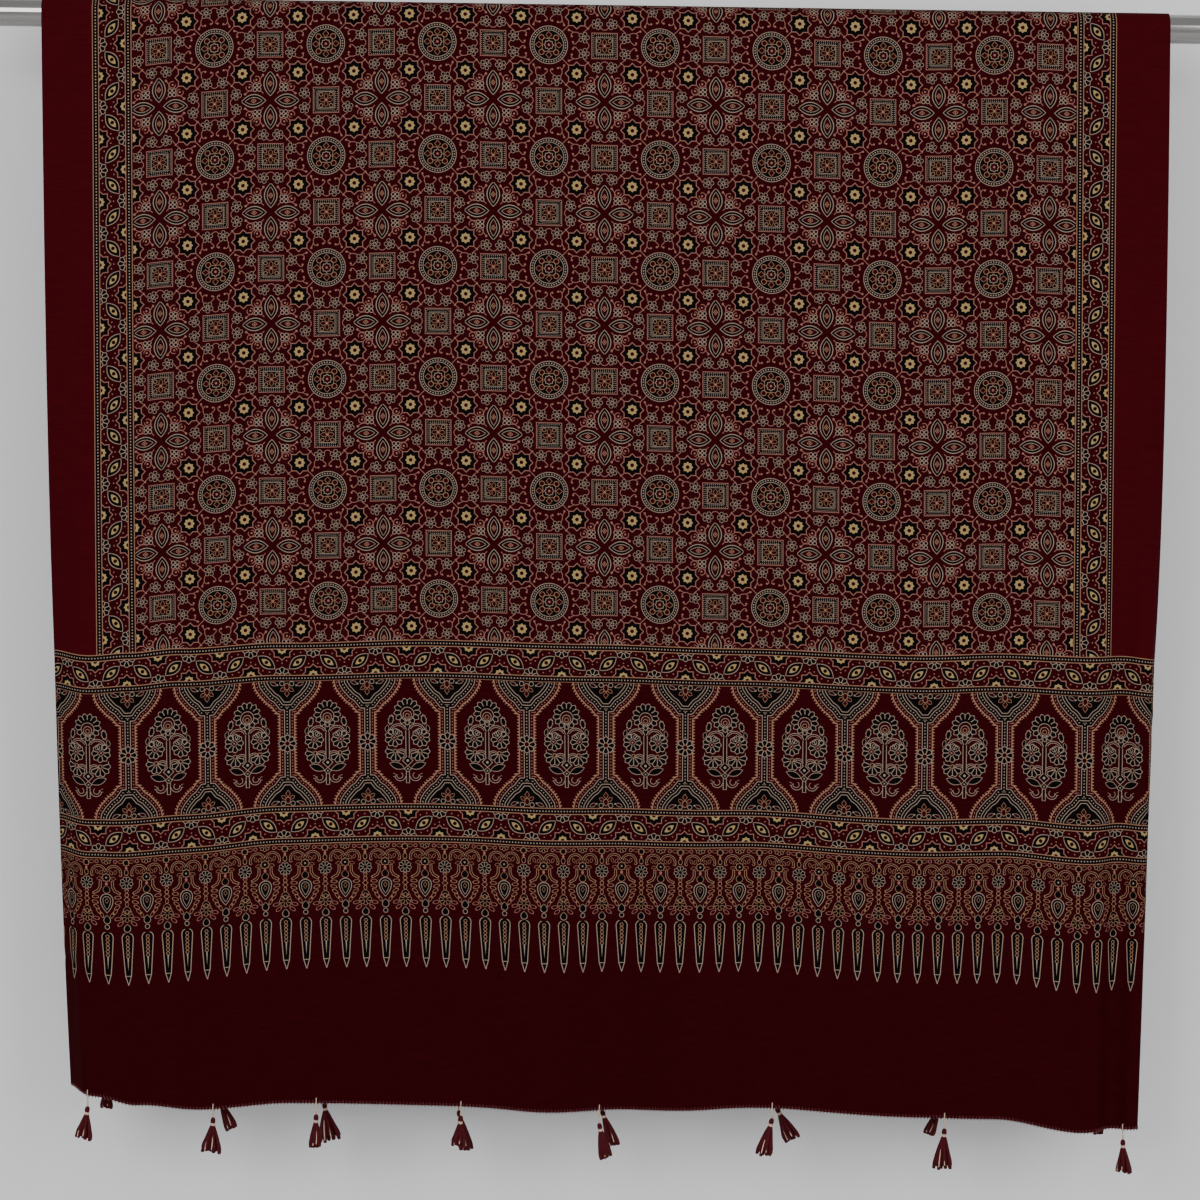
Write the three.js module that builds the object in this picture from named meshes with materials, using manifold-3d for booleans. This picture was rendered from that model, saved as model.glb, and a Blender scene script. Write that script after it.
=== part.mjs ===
// Block-printed dupatta hung in half over a plain round rail, with eight tassels on each of its two hems.
// Millimetres, +Z up, +X to the right as seen from the front, and the front faces -Y.
// The origin is on the rail's axis, half way along the rail.

import * as THREE from 'three';
import Module from 'manifold-3d';
import { mergeVertices } from 'three/addons/utils/BufferGeometryUtils.js';

const wasm = await Module();
wasm.setup();

// The rail is a plain round bar whose right end hangs a little lower than its left end.
const RAIL_LONG = 1260;
const RAIL_RADIUS = 14;
const RAIL_SLOPE = THREE.MathUtils.degToRad(0.856);
const RAIL_BEVEL = 1;
const RAIL_SIDES = 48;

// The cloth is one flat piece before it is hung, hemmed all round.
const CLOTH_WIDE = 1100;
const CLOTH_LONG = 2186;
const CLOTH_THICK = 1.5;
const SEAT_GAP = 0.5;
const BEND_RADIUS = RAIL_RADIUS + SEAT_GAP + CLOTH_THICK / 2;

// The end panel's top line lies this far above the hem on the flat cloth.
const PANEL_HIGH = 457;

// How far below the rail's axis the end panel's top line and the front hem hang, along the width.
const HANG = [
  { across: 0, panel: 629, hem: 1057 },
  { across: 40, panel: 633, hem: 1064 },
  { across: 80, panel: 630, hem: 1073 },
  { across: 130, panel: 625, hem: 1077 },
  { across: 230, panel: 618, hem: 1068 },
  { across: 380, panel: 613, hem: 1070 },
  { across: 540, panel: 615, hem: 1073 },
  { across: 680, panel: 617, hem: 1067 },
  { across: 860, panel: 621, hem: 1073 },
  { across: 940, panel: 618, hem: 1074 },
  { across: 1020, panel: 620, hem: 1086 },
  { across: 1060, panel: 619, hem: 1083 },
  { across: 1100, panel: 622, hem: 1081 },
];

// Soft upright folds: where they lie, how far they reach to each side, and how far they stand
// out from the plane of the cloth at the end panel's top line and at the hem.
const FRONT_FOLDS = [
  { across: 48, reach: 34, panel: 6, hem: 9 },
  { across: 110, reach: 34, panel: -2, hem: -5 },
  { across: 200, reach: 60, panel: 2, hem: 6 },
  { across: 350, reach: 70, panel: -2, hem: -4 },
  { across: 480, reach: 38, panel: 4, hem: 12 },
  { across: 560, reach: 34, panel: -4, hem: -12 },
  { across: 640, reach: 36, panel: 2, hem: 10 },
  { across: 730, reach: 44, panel: -2, hem: -6 },
  { across: 880, reach: 70, panel: 2, hem: 4 },
  { across: 1035, reach: 20, panel: 5, hem: 7 },
  { across: 1060, reach: 17, panel: -6, hem: -8 },
  { across: 1084, reach: 15, panel: 5, hem: 7 },
];
const BACK_FOLDS = [
  { across: 70, reach: 34, panel: 6, hem: 9 },
  { across: 300, reach: 70, panel: 3, hem: 7 },
  { across: 480, reach: 70, panel: -2, hem: -3 },
  { across: 660, reach: 60, panel: 4, hem: 8 },
  { across: 900, reach: 70, panel: 2, hem: 6 },
  { across: 1040, reach: 34, panel: 5, hem: 8 },
];

// The cloth's two sides turn away from the viewer: how wide a strip turns, and how steeply it does.
const SIDE_TURNS = [
  { across: 0, wide: 33, panel: 0.56, hem: 0.78 },
  { across: CLOTH_WIDE, wide: 15, panel: 0.7, hem: 0.9 },
];
const SIDE_SOFTNESS = 5;

// Tassels along the two hems: place, thread below the hem, lean to the right, length and spread.
const FRONT_TASSELS = [
  { across: 30, thread: 11, lean: -9, long: 31, spread: 19 },
  { across: 156, thread: 8, lean: -4, long: 33, spread: 22 },
  { across: 258, thread: 11, lean: -3, long: 31, spread: 12 },
  { across: 401, thread: 9, lean: -6, long: 29, spread: 15 },
  { across: 543, thread: 13, lean: 12, long: 34, spread: 13 },
  { across: 720, thread: 10, lean: -13, long: 36, spread: 17 },
  { across: 890, thread: 10, lean: -3, long: 38, spread: 20 },
  { across: 1073, thread: 10, lean: 2, long: 31, spread: 18 },
];
const BACK_TASSELS = [
  { across: 24, thread: 9, lean: -4, long: 26, spread: 13 },
  { across: 157, thread: 11, lean: 22, long: 33, spread: 13 },
  { across: 268, thread: 11, lean: 9, long: 37, spread: 24 },
  { across: 403, thread: 12, lean: 11, long: 38, spread: 14 },
  { across: 546, thread: 11, lean: 18, long: 36, spread: 14 },
  { across: 721, thread: 9, lean: 27, long: 34, spread: 18 },
  { across: 886, thread: 8, lean: -22, long: 30, spread: 12 },
  { across: 1068, thread: 9, lean: 0, long: 21, spread: 10 },
];
// Each tassel has a tied head, from which an outer and an inner ring of strands hang.
const HEAD_LONG = 9;
const HEAD_SIDES = 8;
const HEAD_PROFILE = [
  { out: 3.7, down: 1 },
  { out: 2.9, down: 0.62 },
  { out: 2.1, down: 0.5 },
  { out: 2.8, down: 0.22 },
  { out: 1.3, down: 0 },
];
const OUTER_RING = { count: 9, root: 2.75, spread: 1 };
const INNER_RING = { count: 3, root: 0.95, spread: 0.33 };
const RING_DEPTH = 0.7;
const STRAND_RADIUS = 0.75;
const STRAND_SIDES = 3;
const STRAND_STEPS = 2;
const ROOT_INSIDE = 1.5;

// A cream thread loops round the hem and holds each tassel.
const THREAD_RADIUS = 0.55;
const THREAD_SIDES = 4;
const THREAD_STEPS = 12;
const STITCH_HIGH = 6;
const PIECE_GAP = 0.35;

// The faceted sheet has close columns at its two sides and close rows where it bends over the rail.
const COLUMNS = 44;
const SIDE_CROWDING = 0.6;
const PANEL_ROWS = 5;
const FIELD_ROWS = 4;
const BEND_ROWS = 10;
const BACK_ROWS = 7;

const chrome = new THREE.MeshStandardMaterial({ color: 0xb9bcbe, roughness: 0.22, metalness: 1 });
const printedCloth = new THREE.MeshStandardMaterial({ color: 0x3d0a0c, roughness: 0.6, metalness: 0 });
const tasselYarn = new THREE.MeshStandardMaterial({ color: 0x4a060c, roughness: 0.7, metalness: 0 });
const creamThread = new THREE.MeshStandardMaterial({ color: 0xc9b79c, roughness: 0.8, metalness: 0 });

// A value read from a table along the width, eased between its rows.
function alongTable(rows, column, across) {
  let right = 1;
  while (right < rows.length - 1 && rows[right].across < across) {
    right += 1;
  }
  const before = rows[right - 1];
  const after = rows[right];
  const part = (across - before.across) / (after.across - before.across);
  return THREE.MathUtils.lerp(before[column], after[column], THREE.MathUtils.smoothstep(part, 0, 1));
}

// A value that grows from none at the rail (level 0) to the panel line (level 1) and the hem (level 2).
function atLevel(row, level, growth) {
  return level < 1 ? row.panel * level ** growth : THREE.MathUtils.lerp(row.panel, row.hem, level - 1);
}

// How far the strips along both sides have turned back at a place.
function sideTurn(across, level) {
  let back = 0;
  for (const side of SIDE_TURNS) {
    const inside = side.wide - Math.abs(across - side.across);
    back += atLevel(side, level, 1) * SIDE_SOFTNESS * Math.log1p(Math.exp(inside / SIDE_SOFTNESS));
  }
  return back;
}

// How far a half of the cloth stands out from its plane, where forward is 1 for the front and -1 for the back.
function foldHeight(folds, forward, across, level) {
  let height = -forward * sideTurn(across, level);
  for (const fold of folds) {
    height += atLevel(fold, level, 2) * Math.exp(-(((across - fold.across) / fold.reach) ** 2));
  }
  return height;
}

// The folds take up some width, so every place moves towards the cloth's middle by what they use.
function sideways(folds, forward, across, level) {
  const step = 2;
  const middle = CLOTH_WIDE / 2;
  const steps = Math.ceil(Math.abs(across - middle) / step);
  if (steps === 0) {
    return 0;
  }
  const stride = (across - middle) / steps;
  let x = 0;
  for (let i = 0; i < steps; i += 1) {
    const from = foldHeight(folds, forward, middle + i * stride, level);
    const to = foldHeight(folds, forward, middle + (i + 1) * stride, level);
    const flat = Math.max(stride * stride - (to - from) ** 2, 0);
    x += Math.sign(stride) * Math.sqrt(flat);
  }
  return x;
}

function railHeight(x) {
  return -Math.tan(RAIL_SLOPE) * x;
}

// A point on the middle of the front half: level 0 is at the rail's axis, 1 at the panel line, 2 at the hem.
function frontPoint(across, level) {
  const x = sideways(FRONT_FOLDS, 1, across, level);
  const panel = alongTable(HANG, 'panel', across);
  const hem = alongTable(HANG, 'hem', across);
  const drop = level < 1 ? panel * level : THREE.MathUtils.lerp(panel, hem, level - 1);
  const y = -BEND_RADIUS - foldHeight(FRONT_FOLDS, 1, across, level);
  return new THREE.Vector3(x, y, railHeight(across - CLOTH_WIDE / 2) - drop);
}

// A point over the rail: turn 0 is at the front and 1 at the back.
function bendPoint(across, turn) {
  const x = across - CLOTH_WIDE / 2;
  const angle = Math.PI * turn;
  const y = -BEND_RADIUS * Math.cos(angle);
  return new THREE.Vector3(x, y, railHeight(x) + BEND_RADIUS * Math.sin(angle));
}

// A point on the middle of the back half, which hangs with what length is left behind the rail.
function backPoint(across, level) {
  const x = sideways(BACK_FOLDS, -1, across, level);
  const used = PANEL_HIGH + alongTable(HANG, 'panel', across) + Math.PI * BEND_RADIUS;
  const drop = (CLOTH_LONG - used) * level / 2;
  const y = BEND_RADIUS + foldHeight(BACK_FOLDS, -1, across, level);
  return new THREE.Vector3(x, y, railHeight(across - CLOTH_WIDE / 2) - drop);
}

// Rows of the sheet from the front hem, up over the rail and down to the back hem.
function clothRows() {
  const rows = [];
  for (let i = 0; i < PANEL_ROWS; i += 1) {
    rows.push((across) => frontPoint(across, 2 - i / PANEL_ROWS));
  }
  for (let i = 0; i < FIELD_ROWS; i += 1) {
    rows.push((across) => frontPoint(across, 1 - i / FIELD_ROWS));
  }
  for (let i = 0; i <= BEND_ROWS; i += 1) {
    rows.push((across) => bendPoint(across, i / BEND_ROWS));
  }
  for (let i = 1; i <= BACK_ROWS; i += 1) {
    rows.push((across) => backPoint(across, 2 * i / BACK_ROWS));
  }
  return rows;
}

function columnPlace(i) {
  const even = i / COLUMNS;
  return CLOTH_WIDE * (even - SIDE_CROWDING * Math.sin(2 * Math.PI * even) / (2 * Math.PI));
}

// The sheet's middle, as rows of points from its left side to its right side.
function clothMiddle() {
  return clothRows().map((row) => {
    const places = [];
    for (let i = 0; i <= COLUMNS; i += 1) {
      places.push(row(columnPlace(i)));
    }
    return places;
  });
}

// One closed sheet: an outer and an inner face half the cloth's thickness off its middle, and a rim.
function clothGeometry(middle) {
  const last = middle.length - 1;
  const wide = COLUMNS + 1;
  const corners = [];
  for (const side of [1, -1]) {
    for (let j = 0; j <= last; j += 1) {
      for (let i = 0; i <= COLUMNS; i += 1) {
        const right = middle[j][Math.min(i + 1, COLUMNS)].clone().sub(middle[j][Math.max(i - 1, 0)]);
        const up = middle[Math.min(j + 1, last)][i].clone().sub(middle[Math.max(j - 1, 0)][i]);
        const outward = right.cross(up).normalize();
        const place = middle[j][i].clone().addScaledVector(outward, side * CLOTH_THICK / 2);
        corners.push(place.x, place.y, place.z);
      }
    }
  }
  const faces = [];
  const innerStart = wide * middle.length;
  const outer = (j, i) => j * wide + i;
  const inner = (j, i) => innerStart + j * wide + i;
  const quad = (a, b, c, d) => faces.push(a, b, c, a, c, d);
  for (let j = 0; j < last; j += 1) {
    for (let i = 0; i < COLUMNS; i += 1) {
      quad(outer(j, i), outer(j, i + 1), outer(j + 1, i + 1), outer(j + 1, i));
      quad(inner(j, i), inner(j + 1, i), inner(j + 1, i + 1), inner(j, i + 1));
    }
    quad(outer(j, 0), outer(j + 1, 0), inner(j + 1, 0), inner(j, 0));
    quad(outer(j, COLUMNS), inner(j, COLUMNS), inner(j + 1, COLUMNS), outer(j + 1, COLUMNS));
  }
  for (let i = 0; i < COLUMNS; i += 1) {
    quad(outer(0, i), inner(0, i), inner(0, i + 1), outer(0, i + 1));
    quad(outer(last, i), outer(last, i + 1), inner(last, i + 1), inner(last, i));
  }
  const geometry = new THREE.BufferGeometry();
  geometry.setAttribute('position', new THREE.Float32BufferAttribute(corners, 3));
  geometry.setIndex(faces);
  return geometry;
}

// The rail lies along X and is turned about Y by its slope.
function railMesh() {
  const half = RAIL_LONG / 2;
  const outline = [
    new THREE.Vector2(0, -half),
    new THREE.Vector2(RAIL_RADIUS - RAIL_BEVEL, -half),
    new THREE.Vector2(RAIL_RADIUS, -half + RAIL_BEVEL),
    new THREE.Vector2(RAIL_RADIUS, half - RAIL_BEVEL),
    new THREE.Vector2(RAIL_RADIUS - RAIL_BEVEL, half),
    new THREE.Vector2(0, half),
  ];
  const geometry = new THREE.LatheGeometry(outline, RAIL_SIDES);
  geometry.rotateZ(-Math.PI / 2);
  const mesh = new THREE.Mesh(geometry, chrome);
  mesh.name = 'rail';
  mesh.rotation.y = RAIL_SLOPE;
  return mesh;
}

// A round section with few sides, drawn along a path.
function strandGeometry(points, radius, sides, steps) {
  const section = new THREE.Shape();
  for (let i = 0; i < sides; i += 1) {
    const angle = 2 * Math.PI * i / sides;
    const x = radius * Math.cos(angle);
    const y = radius * Math.sin(angle);
    if (i === 0) {
      section.moveTo(x, y);
    } else {
      section.lineTo(x, y);
    }
  }
  const path = new THREE.CatmullRomCurve3(points);
  return new THREE.ExtrudeGeometry(section, { steps, bevelEnabled: false, extrudePath: path });
}

function toSolid(geometry) {
  const bare = geometry.clone();
  bare.deleteAttribute('normal');
  bare.deleteAttribute('uv');
  const merged = mergeVertices(bare, 1e-4);
  const vertProperties = new Float32Array(merged.attributes.position.array);
  const triVerts = new Uint32Array(merged.index.array);
  return new wasm.Manifold(new wasm.Mesh({ numProp: 3, vertProperties, triVerts }));
}

function fromSolid(solid) {
  const mesh = solid.getMesh();
  const geometry = new THREE.BufferGeometry();
  geometry.setAttribute('position', new THREE.BufferAttribute(mesh.vertProperties, 3));
  geometry.setIndex(new THREE.BufferAttribute(mesh.triVerts, 1));
  return geometry;
}

// A tassel hangs from its own origin at the top of its tied head, with its strands fused into that head.
function tasselGeometry(tassel) {
  const outline = HEAD_PROFILE.map((row) => new THREE.Vector2(row.out, -row.down * HEAD_LONG));
  outline.unshift(new THREE.Vector2(0, -HEAD_LONG));
  outline.push(new THREE.Vector2(0, 0));
  const head = new THREE.LatheGeometry(outline, HEAD_SIDES);
  head.rotateX(Math.PI / 2);
  let solid = toSolid(head);
  for (const ring of [OUTER_RING, INNER_RING]) {
    const tip = ring.spread * tassel.spread / 2;
    for (let i = 0; i < ring.count; i += 1) {
      const angle = 2 * Math.PI * (i + 0.5) / ring.count;
      const unevenness = 1 + 0.07 * Math.sin(2.4 * i + tassel.across);
      const long = tassel.long * unevenness;
      const place = (out, down) => new THREE.Vector3(
        out * Math.cos(angle),
        RING_DEPTH * out * Math.sin(angle),
        -down,
      );
      const points = [
        place(ring.root, HEAD_LONG - ROOT_INSIDE),
        place(THREE.MathUtils.lerp(ring.root, tip, 0.35), THREE.MathUtils.lerp(HEAD_LONG, long, 0.3)),
        place(tip, long),
      ];
      solid = solid.add(toSolid(strandGeometry(points, STRAND_RADIUS, STRAND_SIDES, STRAND_STEPS)));
    }
  }
  return fromSolid(solid);
}

// A thread goes down in front of the hem, round below it and up behind it, in a narrow loop.
function threadGeometry(long) {
  const beside = CLOTH_THICK / 2 + PIECE_GAP + THREAD_RADIUS;
  const points = [
    new THREE.Vector3(0, -beside, STITCH_HIGH),
    new THREE.Vector3(0, -beside, 0),
    new THREE.Vector3(0, -0.8 * beside, -0.7 * long),
    new THREE.Vector3(0, 0, -long + THREAD_RADIUS),
    new THREE.Vector3(0, 0.8 * beside, -0.7 * long),
    new THREE.Vector3(0, beside, 0),
    new THREE.Vector3(0, beside, STITCH_HIGH),
  ];
  return strandGeometry(points, THREAD_RADIUS, THREAD_SIDES, THREAD_STEPS);
}

const dupatta = new THREE.Group();
dupatta.add(railMesh());

const sheetRows = clothMiddle();
const cloth = new THREE.Mesh(clothGeometry(sheetRows), printedCloth);
cloth.name = 'cloth';
dupatta.add(cloth);

// Each tassel group sits on a straight stretch of its hem and is turned to straddle the edge there.
function addTassels(tassels, hem, side) {
  tassels.forEach((tassel, index) => {
    let column = 1;
    while (columnPlace(column) < tassel.across) {
      column += 1;
    }
    const left = hem[column - 1];
    const right = hem[column];
    const stretch = columnPlace(column) - columnPlace(column - 1);
    const group = new THREE.Group();
    group.position.lerpVectors(left, right, (tassel.across - columnPlace(column - 1)) / stretch);
    group.rotation.z = Math.atan2(right.y - left.y, right.x - left.x);

    const thread = new THREE.Mesh(threadGeometry(tassel.thread), creamThread);
    thread.name = `thread_${side}_${index + 1}`;
    group.add(thread);

    const yarn = new THREE.Mesh(tasselGeometry(tassel), tasselYarn);
    yarn.name = `tassel_${side}_${index + 1}`;
    yarn.position.z = -tassel.thread - PIECE_GAP;
    yarn.rotation.y = -THREE.MathUtils.degToRad(tassel.lean);
    group.add(yarn);
    dupatta.add(group);
  });
}

addTassels(FRONT_TASSELS, sheetRows[0], 'front');
addTassels(BACK_TASSELS, sheetRows[sheetRows.length - 1], 'back');

export default dupatta;
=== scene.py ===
# A block printed dupatta hung in half over a plain steel rail, with small yarn tassels on both hems.
# The script runs from top to bottom: view and room, rail, cloth, hem stitches, tassels.
import math

import bpy
import numpy as np
from mathutils import Matrix, Vector


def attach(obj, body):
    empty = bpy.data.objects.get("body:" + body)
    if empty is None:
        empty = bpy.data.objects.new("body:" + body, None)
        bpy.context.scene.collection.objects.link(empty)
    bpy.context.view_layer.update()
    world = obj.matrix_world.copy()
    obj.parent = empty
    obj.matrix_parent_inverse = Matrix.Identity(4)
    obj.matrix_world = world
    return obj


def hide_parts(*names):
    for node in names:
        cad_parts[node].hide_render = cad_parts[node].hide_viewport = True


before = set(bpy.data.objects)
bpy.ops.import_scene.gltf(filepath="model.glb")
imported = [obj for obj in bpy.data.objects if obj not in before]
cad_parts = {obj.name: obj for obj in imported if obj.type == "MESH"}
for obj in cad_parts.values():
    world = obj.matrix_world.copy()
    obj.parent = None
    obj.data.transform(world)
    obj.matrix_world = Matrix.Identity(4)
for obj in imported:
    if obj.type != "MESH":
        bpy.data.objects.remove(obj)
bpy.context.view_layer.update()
MM = 0.001


# View and room.
# The photo is taken straight on from about three metres, with a long lens, in front of a plain
# pale grey wall. The light is wide and soft and comes from a little left of the camera.
def add(tree, kind, *sources, **settings):
    """Adds one node, with its settings by name and its inputs, in order, from nodes, sockets or values."""
    node = tree.nodes.new(kind)
    for name, value in settings.items():
        setattr(node, name, value)
    shown = [socket for socket in node.inputs if socket.enabled]
    for socket, source in zip(shown, sources):
        if isinstance(source, bpy.types.Node):
            source = next(out for out in source.outputs if out.enabled)
        if isinstance(source, bpy.types.NodeSocket):
            tree.links.new(source, socket)
        elif source is not None:
            socket.default_value = source
    return node


def ink(code):
    """A colour picked as an sRGB hex code, turned linear."""
    parts = [int(code[i:i + 2], 16) / 255 for i in (1, 3, 5)]
    linear = [p / 12.92 if p <= 0.04045 else ((p + 0.055) / 1.055) ** 2.4 for p in parts]
    return (*linear, 1.0)


def new_material(name):
    material = bpy.data.materials.new(name)
    material.use_nodes = True
    material.node_tree.nodes.clear()
    return material


def new_object(name, mesh):
    piece = bpy.data.objects.new(name, mesh)
    bpy.context.scene.collection.objects.link(piece)
    return piece


def mesh_of(name, corners, faces):
    mesh = bpy.data.meshes.new(name)
    mesh.from_pydata([tuple(corner) for corner in corners], [], [tuple(face) for face in faces])
    mesh.update()
    return mesh


lens = bpy.data.cameras.new("photo_lens")
lens.sensor_width = 36
lens.lens = 91.74
lens.clip_end = 50
camera = new_object("photo_view", lens)
camera.location = (-5.8 * MM, -3013.6 * MM, -446.4 * MM)
camera.rotation_euler = (math.radians(87.7), 0, 0)
bpy.context.scene.camera = camera

# The wall is painted smooth and matt. Seen from behind it is clear, so that the cloth's back shows.
wall_paint = new_material("pale_wall_paint")
tree = wall_paint.node_tree
mottle = add(tree, "ShaderNodeTexNoise", None, 1.3, 3.0)
tone = add(tree, "ShaderNodeMapRange", mottle, 0.3, 0.7, 0.985, 1.015)
paint = add(tree, "ShaderNodeBsdfDiffuse")
tint = add(tree, "ShaderNodeVectorMath", (0.77, 0.77, 0.775), None, None, tone, operation="SCALE")
tree.links.new(tint.outputs[0], paint.inputs["Color"])
clear = add(tree, "ShaderNodeBsdfTransparent")
behind = add(tree, "ShaderNodeNewGeometry").outputs["Backfacing"]
shown = add(tree, "ShaderNodeMixShader", behind, paint, clear)
add(tree, "ShaderNodeOutputMaterial", shown)
WALL_AWAY = 0.11
wall = new_object("room_wall", mesh_of(
    "room_wall",
    [(-4, WALL_AWAY, -1.9), (4, WALL_AWAY, -1.9), (4, WALL_AWAY, 2.2), (-4, WALL_AWAY, 2.2)],
    [(0, 1, 2, 3)],
))
wall.data.materials.append(wall_paint)

floor_paint = new_material("pale_floor")
tree = floor_paint.node_tree
mottle = add(tree, "ShaderNodeTexNoise", None, 2.0, 3.0)
tone = add(tree, "ShaderNodeMapRange", mottle, 0.3, 0.7, 0.98, 1.02)
tint = add(tree, "ShaderNodeVectorMath", (0.75, 0.75, 0.75), None, None, tone, operation="SCALE")
paint = add(tree, "ShaderNodeBsdfDiffuse", tint)
add(tree, "ShaderNodeOutputMaterial", paint)
floor = new_object("room_floor", mesh_of(
    "room_floor",
    [(-4, -6, -1.9), (4, -6, -1.9), (4, 4, -1.9), (-4, 4, -1.9)],
    [(0, 1, 2, 3)],
))
floor.data.materials.append(floor_paint)

room_air = bpy.data.worlds.new("soft_room")
room_air.use_nodes = True
room_air.node_tree.nodes.clear()
sky = add(room_air.node_tree, "ShaderNodeBackground", ink("#FCFDFF"), 0.62)
add(room_air.node_tree, "ShaderNodeOutputWorld", sky)
bpy.context.scene.world = room_air


def soft_light(name, place, toward, wide, watts):
    light = bpy.data.lights.new(name, "AREA")
    light.shape = "SQUARE"
    light.size = wide
    light.energy = watts
    lamp = new_object(name, light)
    lamp.location = place
    lamp.rotation_euler = (Vector(toward) - Vector(place)).to_track_quat("-Z", "Y").to_euler()
    return lamp


soft_light("soft_left", (-1.7, -3.1, 0.55), (-0.3, 0, -0.5), 1.8, 60)
soft_light("soft_right", (2.1, -2.6, 0.3), (0.5, 0, -0.4), 2.0, 48)
soft_light("soft_back", (0.6, 2.8, 0.5), (0, 0, -0.5), 2.0, 55)

# Rail.
# A round garment rail of chromed steel tube, 28 mm thick, sloping a little to the right. Chrome
# plating gives a hard bright mirror with very fine draw lines along the tube.
SLOPE = math.tan(math.radians(0.856))
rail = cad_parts["rail"]
chrome = new_material("chromed_tube")
tree = chrome.node_tree
where = add(tree, "ShaderNodeTexCoord").outputs["Object"]
drawn = add(tree, "ShaderNodeMapping", where, (0, 0, 0), (0, 0, 0), (6, 900, 900))
lines = add(tree, "ShaderNodeTexNoise", drawn, 1.0, 2.0)
shine = add(tree, "ShaderNodeMapRange", lines, 0.3, 0.7, 0.08, 0.16)
relief = add(tree, "ShaderNodeBump", 0.04, 0.0002, None, lines)
surface = add(tree, "ShaderNodeBsdfPrincipled", ink("#959490"), 1.0)
tree.links.new(shine.outputs[0], surface.inputs["Roughness"])
tree.links.new(relief.outputs[0], surface.inputs["Normal"])
add(tree, "ShaderNodeOutputMaterial", surface)
for slot in rail.material_slots:
    slot.material = chrome

# Cloth.
# One piece of soft, slightly lustrous cotton and silk cloth, 1.1 by 2.186 m, dyed maroon and block
# printed. It is folded in half over the rail and its front half hangs in a few soft upright folds.
CLOTH_WIDE = 1100.0
CLOTH_LONG = 2186.0
PANEL_HIGH = 457.0
BEND_RADIUS = 15.25
BEND_ARC = math.pi * BEND_RADIUS
# How far below the rail the end panel's top line and the hem hang: across, panel, hem.
HANG = np.array([
    (0, 629, 1057),
    (40, 633, 1064),
    (80, 630, 1073),
    (130, 625, 1077),
    (230, 618, 1068),
    (380, 613, 1070),
    (540, 615, 1073),
    (680, 617, 1067),
    (860, 621, 1073),
    (940, 618, 1074),
    (1020, 620, 1086),
    (1060, 619, 1083),
    (1100, 622, 1081),
], dtype=float)
# Upright folds: across, reach, how far they stand out at the panel's top line and at the hem.
FRONT_FOLDS = [
    (48, 34, 6, 9),
    (110, 34, -2, -5),
    (200, 60, 2, 6),
    (350, 70, -2, -4),
    (480, 38, 4, 12),
    (560, 34, -4, -12),
    (640, 36, 2, 10),
    (730, 44, -2, -6),
    (880, 70, 2, 4),
    (1035, 20, 5, 7),
    (1060, 17, -6, -8),
    (1084, 15, 5, 7),
]
BACK_FOLDS = [
    (34, 20, 7, 14),
    (76, 20, -3, -6),
    (118, 20, 7, 14),
    (160, 20, -3, -6),
    (202, 20, 6, 12),
    (300, 70, 3, 7),
    (480, 70, -2, -3),
    (660, 60, 4, 8),
    (860, 40, 4, 9),
    (903, 20, -3, -7),
    (945, 20, 7, 13),
    (988, 20, -3, -7),
    (1030, 20, 7, 14),
    (1072, 20, -2, -4),
]
# Both sides turn back in a soft strip: across, wide, steepness at the panel's top line and the hem.
SIDE_TURNS = [(0, 27, 0.48, 0.65), (1100, 15, 0.7, 0.9)]
SIDE_SOFTNESS = 5.0


def hang_at(across, column):
    right = np.clip(np.searchsorted(HANG[:, 0], across, side="left"), 1, len(HANG) - 1)
    part = np.clip((across - HANG[right - 1, 0]) / (HANG[right, 0] - HANG[right - 1, 0]), 0, 1)
    eased = part * part * (3 - 2 * part)
    return HANG[right - 1, column] + (HANG[right, column] - HANG[right - 1, column]) * eased


def at_level(panel, hem, level, growth):
    return np.where(level < 1, panel * np.minimum(level, 1) ** growth, panel + (hem - panel) * (level - 1))


def fold_height(folds, forward, across, level):
    """How far a half stands out from its plane; forward is 1 for the front and -1 for the back."""
    height = np.zeros_like(across)
    for side, wide, panel, hem in SIDE_TURNS:
        inside = (wide - np.abs(across - side)) / SIDE_SOFTNESS
        height = height - forward * at_level(panel, hem, level, 1) * SIDE_SOFTNESS * np.log1p(np.exp(inside))
    for place, reach, panel, hem in folds:
        height = height + at_level(panel, hem, level, 2) * np.exp(-(((across - place) / reach) ** 2))
    return height


def sideways_table(folds, forward):
    """Where each place across the cloth ends up once the folds have drawn it towards the middle."""
    across = np.arange(0, CLOTH_WIDE + 1, 2.0)
    levels = np.linspace(0, 2, 81)
    table = np.zeros((len(levels), len(across)))
    for row, level in enumerate(levels):
        height = fold_height(folds, forward, across, np.full_like(across, level))
        steps = np.sqrt(np.maximum(4.0 - np.diff(height) ** 2, 0))
        run = np.concatenate([[0], np.cumsum(steps)])
        table[row] = run - run[len(across) // 2]
    return table


def read_table(table, across, level):
    i = np.clip(across / 2, 0, table.shape[1] - 1.001)
    j = np.clip(level * 40, 0, table.shape[0] - 1.001)
    i0, j0 = i.astype(int), j.astype(int)
    fi, fj = i - i0, j - j0
    near = table[j0, i0] * (1 - fi) + table[j0, i0 + 1] * fi
    far = table[j0 + 1, i0] * (1 - fi) + table[j0 + 1, i0 + 1] * fi
    return near * (1 - fj) + far * fj


FRONT_TABLE = sideways_table(FRONT_FOLDS, 1)
BACK_TABLE = sideways_table(BACK_FOLDS, -1)
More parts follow.
